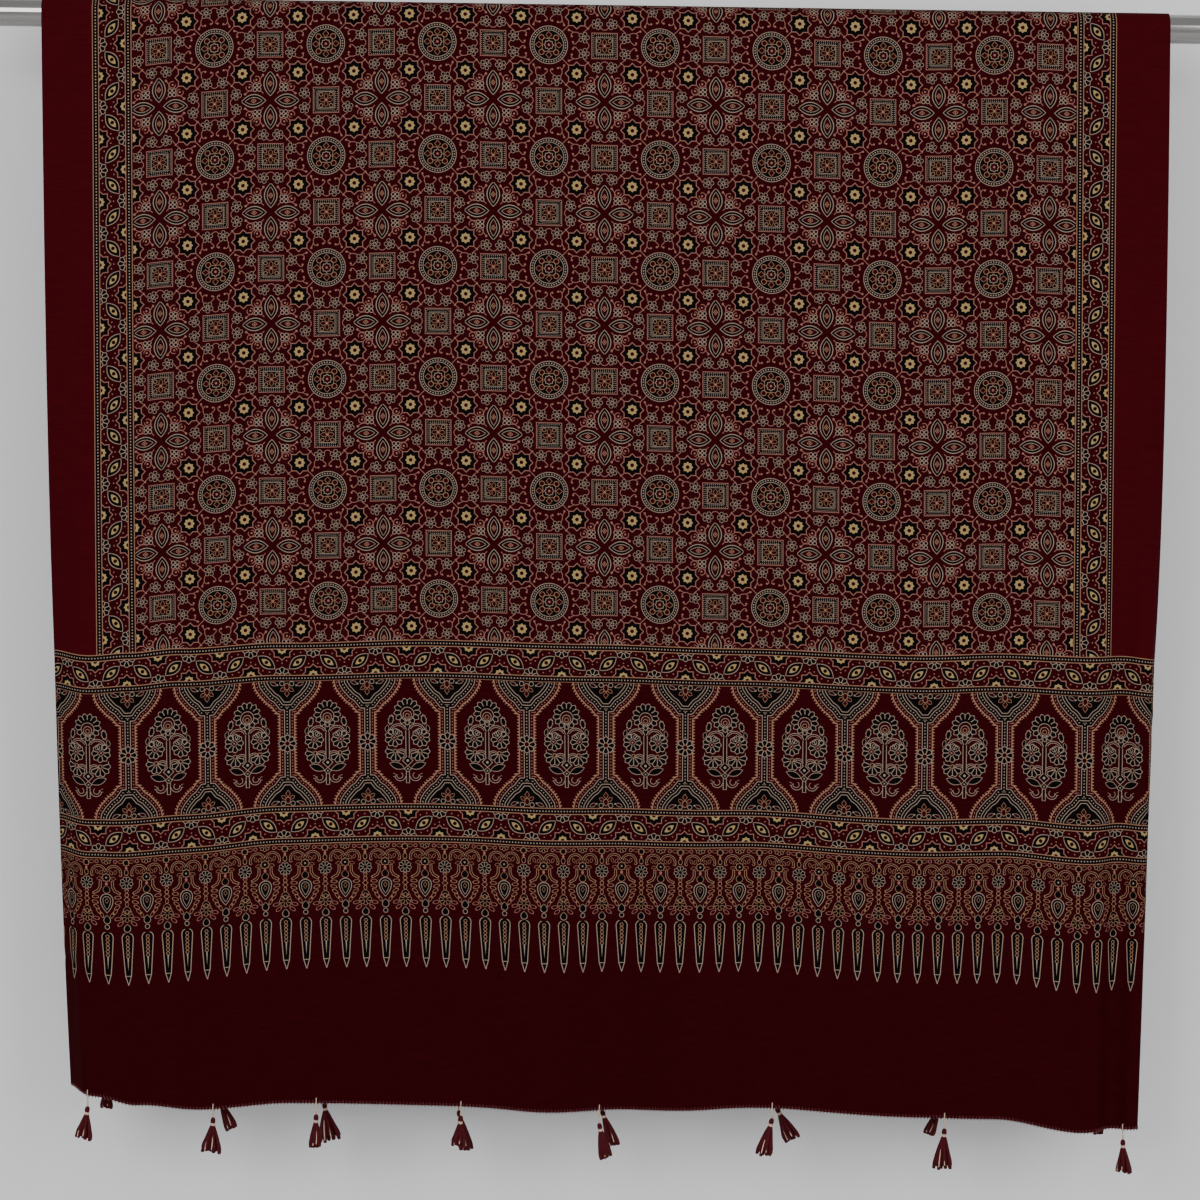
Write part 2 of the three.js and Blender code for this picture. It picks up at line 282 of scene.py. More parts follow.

# Soft creases and pulls placed on the front: from (across, up) to (across, up) on the flat
# cloth, half width, and how far they stand out (a trough is negative).
CREASES = [
    (-4, 139, 48, 118, 5, -3.0),
    (4, 150, 60, 128, 7, 2.0),
    (24, 118, 26, 8, 5, 1.6),
    (36, 118, 38, 0, 6, -1.2),
    (1104, 396, 1080, 372, 6, -2.5),
    (1102, 410, 1076, 388, 6, 1.6),
    (880, 20, 960, 26, 5, 1.3),
    (890, 34, 950, 40, 7, -1.0),
    (170, 60, 260, 30, 14, 1.2),
    (430, 90, 520, 40, 18, 1.2),
]


def crease_height(across, up):
    height = np.zeros_like(across)
    for x0, y0, x1, y1, reach, rise in CREASES:
        run = (x1 - x0) ** 2 + (y1 - y0) ** 2
        part = np.clip(((across - x0) * (x1 - x0) + (up - y0) * (y1 - y0)) / run, 0, 1)
        away = np.hypot(across - x0 - part * (x1 - x0), up - y0 - part * (y1 - y0))
        height += rise * np.exp(-((away / reach) ** 2))
    return height


def drape(across, up):
    """Places on the flat cloth, across it and up from the front hem, as they hang over the rail."""
    across, up = np.broadcast_arrays(np.asarray(across, float), np.asarray(up, float))
    panel = hang_at(across, 1)
    hem = hang_at(across, 2)
    rail_height = -SLOPE * (across - CLOTH_WIDE / 2)
    front_top = PANEL_HIGH + panel
    back_top = front_top + BEND_ARC

    level = np.where(up < PANEL_HIGH, 2 - up / PANEL_HIGH, np.clip(1 - (up - PANEL_HIGH) / panel, 0, 1))
    drop = np.where(level < 1, panel * level, panel + (hem - panel) * (level - 1))
    front = np.stack([
        read_table(FRONT_TABLE, across, level),
        -BEND_RADIUS - fold_height(FRONT_FOLDS, 1, across, level) - crease_height(across, up),
        rail_height - drop,
    ], -1)

    angle = np.clip((up - front_top) / BEND_RADIUS, 0, math.pi)
    bend = np.stack([
        across - CLOTH_WIDE / 2,
        -BEND_RADIUS * np.cos(angle),
        rail_height + BEND_RADIUS * np.sin(angle),
    ], -1)

    rear_level = np.clip((up - back_top) / (CLOTH_LONG - back_top) * 2, 0, 2)
    rear = np.stack([
        read_table(BACK_TABLE, across, rear_level),
        BEND_RADIUS + fold_height(BACK_FOLDS, -1, across, rear_level),
        rail_height - np.maximum(up - back_top, 0),
    ], -1)

    over = (up > front_top)[..., None]
    behind = (up > back_top)[..., None]
    return np.where(behind, rear, np.where(over, bend, front)) * MM


# Lines of the flat cloth where one part of the print meets the next, and how its parts repeat.
PRINT_WIDE = CLOTH_WIDE - 2.9
FIELD_STEP = 0.975
FIELD_HALF = 55.7
RING_ACROSS = 168.5
RING_UP = 502.2
ARCADE_STEP = 0.988
ARCADE_TOP = 424.1
PLANT_ACROSS = 39.29
PLANTS_APART = 78.57
SPEAR_TIPS = 134.0
SPEAR_TOPS = 188.6
PENDANT_TOPS = 261.1
LOW_STRIP_TOP = 300.2
PLANTS_TOP = 423.5
PANEL_TOP = 461.5
STRIP_OUT = 48.5
STRIP_IN = 88.3
ENDS = [SPEAR_TIPS, SPEAR_TOPS, PENDANT_TOPS, LOW_STRIP_TOP, PLANTS_TOP, PANEL_TOP]


def stations(stops, spacing):
    """Places from the first stop to the last, through each stop, no further apart than the spacing there."""
    places = []
    for start, end in zip(stops, stops[1:]):
        count = max(1, math.ceil((end - start) / spacing((start + end) / 2)))
        places += list(np.linspace(start, end, count, endpoint=False))
    return np.array(places + [stops[-1]])


def repeat_lines(centre, repeat, offsets, low, high):
    """Places at the given distances to both sides of every repeat's centre."""
    first = math.floor((low - centre) / repeat)
    last = math.ceil((high - centre) / repeat)
    centres = [centre + repeat * i for i in range(first, last + 1)]
    lines = [c + side * offset for c in centres for offset in offsets for side in (-1, 1)]
    return [line for line in lines if low + 0.8 < line < high - 0.8]


def thinned(lines):
    """The lines in order, leaving out any closer than 0.6 mm to the one before."""
    kept = []
    for line in sorted(lines):
        if not kept or line - kept[-1] > 0.6:
            kept.append(line)
    return kept


BLOCK_LINES = [offset * FIELD_STEP for offset in (13.9, 16.0, 19.9, 27.1, 39.8, 41.9, 47.8)]
FIELD_RIGHT = PRINT_WIDE - STRIP_IN
FIELD_REPEAT = 108.615
columns = stations(
    thinned([
        0, STRIP_OUT, STRIP_IN, FIELD_RIGHT, PRINT_WIDE - STRIP_OUT, CLOTH_WIDE,
        *repeat_lines(RING_ACROSS, FIELD_REPEAT, BLOCK_LINES, STRIP_IN, FIELD_RIGHT),
        *repeat_lines(PLANT_ACROSS, PLANTS_APART, (14.4, 23.0), 2, CLOTH_WIDE - 2),
    ]),
    lambda at: 3.6 if at < 90 or at > 1005 else 8.6,
)
panel_rows = [0, 3, *ENDS, *[ARCADE_TOP - down * ARCADE_STEP for down in (19, 35, 91, 108)]]
rows = stations(
    thinned([
        *panel_rows, 1060, 1145, *[CLOTH_LONG - row for row in panel_rows],
        *repeat_lines(RING_UP, FIELD_REPEAT, BLOCK_LINES, PANEL_TOP, CLOTH_LONG - PANEL_TOP),
    ]),
    lambda at: 2.8 if 1060 < at < 1145 else (6 if at < SPEAR_TOPS else 8.6),
)
# The panel's blocks were set askew to the hem: across, and how much lower the spears' tips lie there.
ASKEW = np.array([(0, 21.0), (60, 17), (100, 13), (140, 8), (200, 4.5), (280, 1), (340, 0), (700, 0),
                  (780, 3.0), (880, 3.5), (960, 2.0), (1100, 2.0)])


def lying_up(across, up):
    """How far up the cloth a place in the print's charts lies, on the front end's panel."""
    tips = SPEAR_TIPS - np.interp(across, ASKEW[:, 0], ASKEW[:, 1])
    panel = PANEL_TOP - (PANEL_TOP - up) * (PANEL_TOP - tips) / (PANEL_TOP - SPEAR_TIPS)
    band = up * tips / SPEAR_TIPS
    return np.where(up > PANEL_TOP, up, np.where(up > SPEAR_TIPS, panel, band))


grid_across, grid_up = np.meshgrid(columns, rows)
corners = drape(grid_across, lying_up(grid_across, grid_up)).reshape(-1, 3)
wide = len(columns)
first = (np.arange(len(rows) - 1)[:, None] * wide + np.arange(wide - 1)[None, :]).reshape(-1)
quads = np.stack([first, first + 1, first + wide + 1, first + wide], -1)
cloth_mesh = mesh_of("printed_cloth", corners, quads)

flat_places = np.stack([grid_across, grid_up], -1).reshape(-1, 2)
flat_uv = cloth_mesh.uv_layers.new(name="flat_cloth")
bake_uv = cloth_mesh.uv_layers.new(name="OFBake")
loop_corner = np.zeros(len(cloth_mesh.loops), dtype=np.int32)
cloth_mesh.loops.foreach_get("vertex_index", loop_corner)
flat_uv.data.foreach_set("uv", (flat_places[loop_corner] * MM).astype(np.float32).reshape(-1))
bake_uv.data.foreach_set(
    "uv", (flat_places[loop_corner] / (CLOTH_WIDE, CLOTH_LONG)).astype(np.float32).reshape(-1))
cloth_mesh.shade_smooth()
cloth = new_object("printed_cloth", cloth_mesh)

# The print. Maroon dye first, then black fills, ochre, and fine cream, tan and salmon outlines, each
# from its own hand cut wooden block, so the lines are soft edged and a little uneven.
INK = {
    "black": ink("#0C090A"),
    "gold": ink("#917B53"),
    "maroon": ink("#2B060A"),
    "tan": ink("#85634E"),
    "cream": ink("#877668"),
    "salmon": ink("#84594F"),
    "pip": ink("#1C070A"),
}
MARGIN_DYE = ink("#38070D")
BAND_DYE = ink("#2B0509")
# How much of a charted line's width the block leaves on the cloth.
LINE = 0.62


def press(tree, masks, layer, mask):
    """Adds a mask to those of its ink."""
    if layer in masks:
        mask = add(tree, "ShaderNodeMath", masks[layer], mask, operation="MAXIMUM")
    masks[layer] = mask


def cut_to(tree, masks, inside):
    """Keeps the pressed inks only where the last mask is."""
    for layer in list(masks):
        masks[layer] = add(tree, "ShaderNodeMath", masks[layer], inside, operation="MULTIPLY")


def seen_from(tree, place, x, y, long, wide, turn):
    """The place seen from a mark's middle, along and across it, in half lengths and half widths."""
    if turn == 0:
        return add(tree, "ShaderNodeVectorMath", place, (1 / long, 1 / wide, 0), (-x / long, -y / wide, 0),
                   operation="MULTIPLY_ADD")
    c = math.cos(math.radians(turn))
    s = math.sin(math.radians(turn))
    along = add(tree, "ShaderNodeVectorMath", place, (c / long, s / long, 0), operation="DOT_PRODUCT")
    across = add(tree, "ShaderNodeVectorMath", place, (-s / wide, c / wide, 0), operation="DOT_PRODUCT")
    local = add(tree, "ShaderNodeCombineXYZ", along, across)
    return add(tree, "ShaderNodeVectorMath", local, (-(c * x + s * y) / long, (s * x - c * y) / wide, 0),
               operation="ADD")


def marks(tree, place, masks, chart):
    """Presses marks: form, x, y, half length, half width, turn, ink inside, ink and width of its outline."""
    for form, x, y, long, wide, turn, fill, edge, line in chart:
        size = 1.0
        band = line * LINE / (long + wide)
        if form == "round" and long == wide:
            size = long
            band = line * LINE / 2
            reach = add(tree, "ShaderNodeVectorMath", place, (x, y, 0), operation="DISTANCE")
        elif form == "round":
            local = seen_from(tree, place, x, y, long, wide, turn)
            reach = add(tree, "ShaderNodeVectorMath", local, operation="LENGTH")
        elif form == "drop":
            local = seen_from(tree, place, x, y, long, wide, turn)
            head = add(tree, "ShaderNodeVectorMath", local, (long / wide, 1, 0), operation="MULTIPLY")
            head = add(tree, "ShaderNodeVectorMath", head, operation="LENGTH")
            split = add(tree, "ShaderNodeSeparateXYZ", local)
            aside = add(tree, "ShaderNodeMath", split.outputs["Y"], operation="ABSOLUTE")
            tail = add(tree, "ShaderNodeMath", split.outputs["X"], split.outputs["X"], aside,
                       operation="MULTIPLY_ADD")
            in_tail = add(tree, "ShaderNodeMath", split.outputs["X"], 0.0, operation="GREATER_THAN")
            reach = add(tree, "ShaderNodeMix", in_tail, head, tail)
        else:
            local = seen_from(tree, place, x, y, long, wide, turn)
            local = add(tree, "ShaderNodeVectorMath", local, operation="ABSOLUTE")
            split = add(tree, "ShaderNodeSeparateXYZ", local)
            along = split.outputs["X"]
            across = split.outputs["Y"]
            if form == "lens":
                reach = add(tree, "ShaderNodeMath", along, along, across, operation="MULTIPLY_ADD")
            elif form == "diamond":
                reach = add(tree, "ShaderNodeMath", along, across, operation="ADD")
            else:
                reach = add(tree, "ShaderNodeMath", along, across, operation="MAXIMUM")
            if form == "star":
                slant = add(tree, "ShaderNodeMath", along, across, operation="ADD")
                slant = add(tree, "ShaderNodeMath", slant, 0.7071, operation="MULTIPLY")
                reach = add(tree, "ShaderNodeMath", reach, slant, operation="MINIMUM")
        if fill:
            press(tree, masks, fill, add(tree, "ShaderNodeMath", reach, size, operation="LESS_THAN"))
        if edge:
            press(tree, masks, edge, add(tree, "ShaderNodeMath", reach, size, band, operation="COMPARE"))


def from_segment(tree, place, start, end):
    """The distance from a straight stretch between two places."""
    run = Vector(end) - Vector(start)
    middle = (Vector(end) + Vector(start)) / 2
    local = seen_from(tree, place, middle.x, middle.y, 1, 1, math.degrees(math.atan2(run.y, run.x)) or 1e-4)
    local = add(tree, "ShaderNodeVectorMath", local, operation="ABSOLUTE")
    local = add(tree, "ShaderNodeVectorMath", local, (run.length / 2, 0, 0), operation="SUBTRACT")
    local = add(tree, "ShaderNodeVectorMath", local, (0, 0, 0), operation="MAXIMUM")
    return add(tree, "ShaderNodeVectorMath", local, operation="LENGTH")


def strokes(tree, place, masks, chart):
    """Presses bent lines: ink, width, and the points that the line goes through."""
    for layer, line, points in chart:
        for start, end in zip(points, points[1:]):
            way = Vector(end) - Vector(start)
            middle = (Vector(end) + Vector(start)) / 2
            along = way.normalized()
            across = Vector((-along.y, along.x))
            run = add(tree, "ShaderNodeVectorMath", place, (along.x, along.y, 0), operation="DOT_PRODUCT")
            off = add(tree, "ShaderNodeVectorMath", place, (across.x, across.y, 0), operation="DOT_PRODUCT")
            reach = way.length / 2 + line * LINE / 3
            run = add(tree, "ShaderNodeMath", run, along.dot(middle), reach, operation="COMPARE")
            off = add(tree, "ShaderNodeMath", off, across.dot(middle), line * LINE / 2, operation="COMPARE")
            press(tree, masks, layer, add(tree, "ShaderNodeMath", run, off, operation="MULTIPLY"))


def curls(tree, place, masks, chart):
    """Presses parts of rings: ink, x, y, radius, line width, the direction of its middle, half its spread."""
    for layer, x, y, radius, line, toward, half in chart:
        local = seen_from(tree, place, x, y, radius, radius, toward or 1e-4)
        away = add(tree, "ShaderNodeVectorMath", local, operation="LENGTH")
        ring = add(tree, "ShaderNodeMath", away, 1.0, line * LINE / 2 / radius, operation="COMPARE")
        along = add(tree, "ShaderNodeSeparateXYZ", local).outputs["X"]
        ahead = add(tree, "ShaderNodeMath", along, math.cos(math.radians(half)), operation="GREATER_THAN")
        press(tree, masks, layer, add(tree, "ShaderNodeMath", ring, ahead, operation="MULTIPLY"))


def rosettes(tree, place, masks, chart):
    """Presses round flowers: ink of the outlines, x, y, radius, petals, turn, line width and hub radius."""
    for layer, x, y, radius, petals, turn, line, hub in chart:
        line = line * LINE
        local = seen_from(tree, place, x, y, radius, radius, turn)
        away = add(tree, "ShaderNodeVectorMath", local, operation="LENGTH")
        split = add(tree, "ShaderNodeSeparateXYZ", local)
        angle = add(tree, "ShaderNodeMath", split.outputs["Y"], split.outputs["X"], operation="ARCTAN2")
        turns = add(tree, "ShaderNodeMath", angle, petals, operation="MULTIPLY")
        wave = add(tree, "ShaderNodeMath", turns, operation="COSINE")
        lobes = add(tree, "ShaderNodeMath", wave, 0.07, 0.93, operation="MULTIPLY_ADD")
        reach = add(tree, "ShaderNodeMath", away, lobes, operation="DIVIDE")
        inside = add(tree, "ShaderNodeMath", reach, 1.0, operation="LESS_THAN")
        press(tree, masks, "black", inside)
        rim = add(tree, "ShaderNodeMath", reach, 1.0, line / 2 / radius, operation="COMPARE")
        press(tree, masks, layer, rim)
        valley = add(tree, "ShaderNodeMath", wave, 0.5, 0.5, operation="MULTIPLY_ADD")
        valley = add(tree, "ShaderNodeMath", valley, operation="SQRT")
        beside = add(tree, "ShaderNodeMath", valley, away, operation="MULTIPLY")
        spoke = add(tree, "ShaderNodeMath", beside, line * petals / 4 / radius, operation="LESS_THAN")
        ringed = add(tree, "ShaderNodeMath", away, hub / radius, operation="GREATER_THAN")
        spoke = add(tree, "ShaderNodeMath", spoke, ringed, operation="MULTIPLY")
        press(tree, masks, layer, add(tree, "ShaderNodeMath", spoke, inside, operation="MULTIPLY"))


def beads(tree, masks, layer, along, away, pitch, radius):
    """Presses a row of dots on a line, from the way along it and the distance from it."""
    step = add(tree, "ShaderNodeMath", along, pitch / 2, operation="PINGPONG")
    spot = add(tree, "ShaderNodeCombineXYZ", step, away)
    reach = add(tree, "ShaderNodeVectorMath", spot, operation="LENGTH")
    press(tree, masks, layer, add(tree, "ShaderNodeMath", reach, radius, operation="LESS_THAN"))


def flat_steps(tree, origin_across, origin_up, step):
    """The place on the flat cloth, in chart steps from an origin in mm, as its two parts."""
    flat = add(tree, "ShaderNodeUVMap", uv_map="flat_cloth")
    scale = 1 / (MM * step)
    place = add(tree, "ShaderNodeVectorMath", flat, (scale, scale, 0),
                (-origin_across / step, -origin_up / step, 0), operation="MULTIPLY_ADD")
    split = add(tree, "ShaderNodeSeparateXYZ", place)
    return split.outputs["X"], split.outputs["Y"]


def from_nearer_end(tree, up, origin_up, step):
    """The same way up counted from whichever hem is nearer, so both ends carry the same panel."""
    half = (CLOTH_LONG / 2 - origin_up) / step
    from_middle = add(tree, "ShaderNodeMath", up, half, operation="SUBTRACT")
    from_middle = add(tree, "ShaderNodeMath", from_middle, operation="ABSOLUTE")
    return add(tree, "ShaderNodeMath", half, from_middle, operation="SUBTRACT")


def cloth_material(name, dye, printed):
    """Dyed and printed cloth, from its dye and the function that fills the masks of its print."""
    material = new_material(name)
    tree = material.node_tree
    masks = {}
    if printed:
        printed(tree, masks)
    flat = add(tree, "ShaderNodeUVMap", uv_map="flat_cloth")
    # Slubs, where a yarn is thicker, run across the cloth and take up the dye a little differently.
    stretched = add(tree, "ShaderNodeVectorMath", flat, (40, 1400, 0), operation="MULTIPLY")
    slubs = add(tree, "ShaderNodeTexNoise", stretched, 1.0, 0.0, noise_dimensions="2D")
    tone = add(tree, "ShaderNodeMapRange", slubs, 0.3, 0.7, 0.0, 1.0)
    paler = tuple(part * 1.12 for part in dye[:3]) + (1,)
    darker = tuple(part * 0.88 for part in dye[:3]) + (1,)
    colour = add(tree, "ShaderNodeMix", tone, darker, paler, data_type="RGBA")
    for layer, layer_ink in INK.items():
        if layer in masks:
            colour = add(tree, "ShaderNodeMix", masks[layer], colour, layer_ink, data_type="RGBA")
    # The dye soaks through, but the inks less so, and the inner face shows the print faintly.
    inner = add(tree, "ShaderNodeNewGeometry").outputs["Backfacing"]
    faint = add(tree, "ShaderNodeMath", inner, 0.55, operation="MULTIPLY")
    colour = add(tree, "ShaderNodeMix", faint, colour, dye, data_type="RGBA")
    # Plain weave, with a thread every 0.45 mm each way.
    weave = add(tree, "ShaderNodeVectorMath", flat, (1 / 0.00045, 1 / 0.00045, 0), operation="MULTIPLY")
    threads = add(tree, "ShaderNodeSeparateXYZ", weave)
    warp = add(tree, "ShaderNodeMath", threads.outputs["X"], 0.5, operation="PINGPONG")
    weft = add(tree, "ShaderNodeMath", threads.outputs["Y"], 0.5, operation="PINGPONG")
    woven = add(tree, "ShaderNodeMath", warp, weft, operation="ADD")
    relief = add(tree, "ShaderNodeMath", slubs, 0.6, woven, operation="MULTIPLY_ADD")
    bump = add(tree, "ShaderNodeBump", 0.2, 0.0001)
    tree.links.new(relief.outputs[0], bump.inputs["Height"])
    surface = add(tree, "ShaderNodeBsdfPrincipled", colour)
    surface.distribution = "GGX"
    surface.inputs["Roughness"].default_value = 0.6
    surface.inputs["Specular IOR Level"].default_value = 0.008
    surface.inputs["Specular Tint"].default_value = ink("#CE5965")
    tree.links.new(bump.outputs[0], surface.inputs["Normal"])
    add(tree, "ShaderNodeOutputMaterial", surface)
    return material


# Strip of eyes between two beaded lines. Half stars and half flowers stand on its edges in turn.
EYE_STEP = 0.977
EYES = [
    ("lens", 0, 0, 10.6, 5.4, -38, "black", "cream", 1.9),
    ("lens", 0, 0, 5.9, 2.6, -38, "gold", None, 0),
    ("round", 0, 0, 1.9, 1.9, 0, "pip", None, 0),
    ("star", -15.63, -13, 7.8, 7.8, 0, "black", "salmon", 1.4),
    ("star", -15.63, -13, 3.6, 3.6, 0, "gold", None, 0),
    ("round", -15.63, -13, 1.9, 1.9, 0, "pip", None, 0),
    ("round", -3.0, 9.9, 0.68, 0.68, 0, "salmon", None, 0),
    ("round", -3.5, -8.1, 0.68, 0.68, 0, "salmon", None, 0),
    ("round", -15.63, 0.9, 0.68, 0.68, 0, "salmon", None, 0),
    ("round", -11.0, -1.5, 0.68, 0.68, 0, "salmon", None, 0),
]
EYE_FLOWERS = [("cream", -15.63, 13, 8.0, 8, 90, 1.2, 2.4)]
EYE_HUB = [
    ("round", -15.63, 13, 1.9, 1.9, 0, "maroon", None, 0),
    ("round", -15.63, 13, 2.2, 2.2, 0, None, "cream", 1.0),
]


def eye_strip(tree, masks, along, across):
    wave = add(tree, "ShaderNodeMath", along, 31.27, operation="PINGPONG")
    beside = add(tree, "ShaderNodeMath", wave, 15.63, operation="SUBTRACT")
    side = add(tree, "ShaderNodeMath", beside, operation="SIGN")
    turned = add(tree, "ShaderNodeMath", side, across, operation="MULTIPLY")
    turned = add(tree, "ShaderNodeMath", turned, -1.0, operation="MULTIPLY")
    beside = add(tree, "ShaderNodeMath", beside, operation="ABSOLUTE")
    beside = add(tree, "ShaderNodeMath", beside, -1.0, operation="MULTIPLY")
    place = add(tree, "ShaderNodeCombineXYZ", beside, turned)
    rosettes(tree, place, masks, EYE_FLOWERS)
    marks(tree, place, masks, EYE_HUB + EYES)
    # The beaded lines cover what reaches over the strip's edge.
    out = add(tree, "ShaderNodeMath", across, operation="ABSOLUTE")
    cut_to(tree, masks, add(tree, "ShaderNodeMath", out, 13.0, operation="LESS_THAN"))
    from_band = add(tree, "ShaderNodeMath", out, 16.25, operation="SUBTRACT")
    press(tree, masks, "black", add(tree, "ShaderNodeMath", from_band, 0.0, 2.1, operation="COMPARE"))
    beads(tree, masks, "cream", along, from_band, 3.1, 0.72)
    from_line = add(tree, "ShaderNodeMath", from_band, operation="ABSOLUTE")
    press(tree, masks, "tan", add(tree, "ShaderNodeMath", from_line, 3.0, 0.4, operation="COMPARE"))


def upper_strip(tree, masks):
    across, up = flat_steps(tree, 17.4, 442.3, EYE_STEP)
    eye_strip(tree, masks, across, from_nearer_end(tree, up, 442.3, EYE_STEP))


def lower_strip(tree, masks):
    across, up = flat_steps(tree, 17.4, 280.8, EYE_STEP)
    eye_strip(tree, masks, across, from_nearer_end(tree, up, 280.8, EYE_STEP))


def side_strip(tree, masks):
    across, up = flat_steps(tree, 548.55, 719.8, EYE_STEP)
    out = add(tree, "ShaderNodeMath", across, operation="ABSOLUTE")
    eye_strip(tree, masks, up, add(tree, "ShaderNodeMath", 480.05 / EYE_STEP, out, operation="SUBTRACT"))


# Field. Beaded rings, squares and crosses of four eyes stand in turn, with stars between them and
# vines with five-petalled flowers in the gaps. One eighth of the repeat is charted.
CORNER_VINES = [("salmon", 1.1, [(36.1, 19.8), (42.5, 13.2)]), ("salmon", 1.1, [(19.8, 19.8), (13.7, 13.7)])]
CROSS_VINES = [
    ("salmon", 1.1, [(44.9, 44.9), (48.6, 48.6)]),
    ("salmon", 1.1, [(45.6, 40.0), (45.6, 34.5), (48.2, 30.6)]),
]
STAR_VINES = [("salmon", 1.1, [(39.2, 17.2), (43.0, 21.6)]), ("salmon", 1.1, [(36.2, 36.2), (40.0, 40.0)])]
OPEN_VINES = [
    ("salmon", 1.1, [(39.2, 17.0), (34.5, 13.0)]),
    ("salmon", 1.1, [(31.5, 11.5), (28.0, 13.2), (24.5, 13.2), (20.4, 15.3)]),
    ("salmon", 1.1, [(24.5, 13.2), (22.3, 11.4), (22.9, 9.3)]),
    ("salmon", 1.1, [(30.2, 5.2), (26.6, 1.6), (24.6, 1.6), (24.1, 3.2)]),
]
SPIRAL = [("salmon", 42.2, 34.6, 3.2, 1.1, 30, 150)]
ARCHES = [("salmon", 36.4, 0, 3.6, 1.1, 0, 100), ("salmon", 55.7, 19.9, 4.2, 1.1, -90, 75)]
RING_MARKS = [
    ("round", 0, 0, 18.6, 18.6, 0, "black", None, 0),
    ("round", 0, 0, 18.7, 18.7, 0, None, "cream", 1.1),
    ("round", 0, 0, 14.8, 14.8, 0, None, "cream", 1.0),
    ("diamond", 10.0, 0, 3.4, 3.0, 0, "maroon", "tan", 1.0),
    ("round", 7.3, 7.3, 2.6, 2.6, 0, "maroon", "tan", 1.0),
    ("round", 0, 0, 3.9, 3.9, 0, "maroon", None, 0),
    ("round", 0, 0, 1.2, 1.2, 0, "salmon", None, 0),
    ("round", 20.2, 15.3, 1.25, 1.25, 0, "salmon", None, 0),
]
STAR_MARKS = [
    ("star", 27.9, 27.9, 8.2, 8.2, 0, "black", "salmon", 1.4),
    ("star", 27.9, 27.9, 3.9, 3.9, 0, "gold", None, 0),
    ("round", 27.9, 27.9, 1.9, 1.9, 0, "maroon", None, 0),
    ("round", 39.1, 17.1, 1.0, 1.0, 0, "tan", None, 0),
    ("round", 40.4, 40.4, 2.1, 2.1, 0, "cream", None, 0),
    ("round", 40.4, 40.4, 1.4, 1.4, 0, "pip", None, 0),
]
SQUARE_MARKS = [
    ("box", 55.7, 0, 12.6, 12.6, 0, "black", None, 0),
    ("box", 55.7, 0, 12.7, 12.7, 0, None, "salmon", 1.2),
    ("box", 55.7, 0, 8.1, 8.1, 0, None, "cream", 0.9),
    ("round", 50.2, 5.0, 1.8, 1.8, 0, None, "tan", 1.0),
    ("lens", 51.9, 0, 3.0, 2.0, 0, "maroon", "tan", 1.0),
    ("lens", 55.7, 3.8, 3.0, 2.0, 90, "maroon", "tan", 1.0),
    ("round", 55.7, 0, 1.2, 1.2, 0, "tan", None, 0),
]
CROSS_MARKS = [
    ("lens", 55.7, 39.0, 12.2, 6.3, 90, "black", "cream", 2.0),
    ("lens", 55.7, 39.0, 8.6, 3.5, 90, "maroon", "cream", 1.6),
    ("diamond", 55.7, 39.0, 2.5, 2.1, 90, None, "tan", 1.3),
    ("round", 55.7, 39.0, 0.8, 0.8, 0, "salmon", None, 0),
    ("round", 48.4, 30.5, 1.25, 1.25, 0, "salmon", None, 0),
]
RING_SIDE_MARKS = [
    ("round", 39.1, 17.1, 1.0, 1.0, 0, "tan", None, 0),
    ("round", 24.1, 3.4, 1.0, 1.0, 0, "salmon", None, 0),
    ("round", 22.9, 9.1, 1.0, 1.0, 0, "salmon", None, 0),
    ("round", 20.2, 15.3, 1.0, 1.0, 0, "salmon", None, 0),
]
CROSS_SIDE_MARKS = [
    ("round", 44.6, 44.6, 2.1, 2.1, 0, "cream", None, 0),
    ("round", 44.6, 40.4, 2.1, 2.1, 0, "cream", None, 0),
    ("round", 40.4, 40.4, 2.1, 2.1, 0, "cream", None, 0),
    ("round", 44.6, 44.6, 1.4, 1.4, 0, "pip", None, 0),
    ("round", 44.6, 40.4, 1.4, 1.4, 0, "pip", None, 0),
    ("round", 40.4, 40.4, 1.4, 1.4, 0, "pip", None, 0),
    ("round", 39.1, 17.1, 1.0, 1.0, 0, "tan", None, 0),
    ("round", 48.4, 30.5, 1.0, 1.0, 0, "salmon", None, 0),
    ("round", 41.9, 34.8, 1.0, 1.0, 0, "salmon", None, 0),
]


def field_eighth(tree):
    """The place in the repeat's first eighth: the two ways from the nearest ring, the longer first."""
    across, up = flat_steps(tree, RING_ACROSS, RING_UP, FIELD_STEP)
    across = add(tree, "ShaderNodeMath", across, FIELD_HALF, operation="PINGPONG")
    up = add(tree, "ShaderNodeMath", up, FIELD_HALF, operation="PINGPONG")
    more = add(tree, "ShaderNodeMath", across, up, operation="MAXIMUM")
    less = add(tree, "ShaderNodeMath", across, up, operation="MINIMUM")
    return add(tree, "ShaderNodeCombineXYZ", more, less), more, less


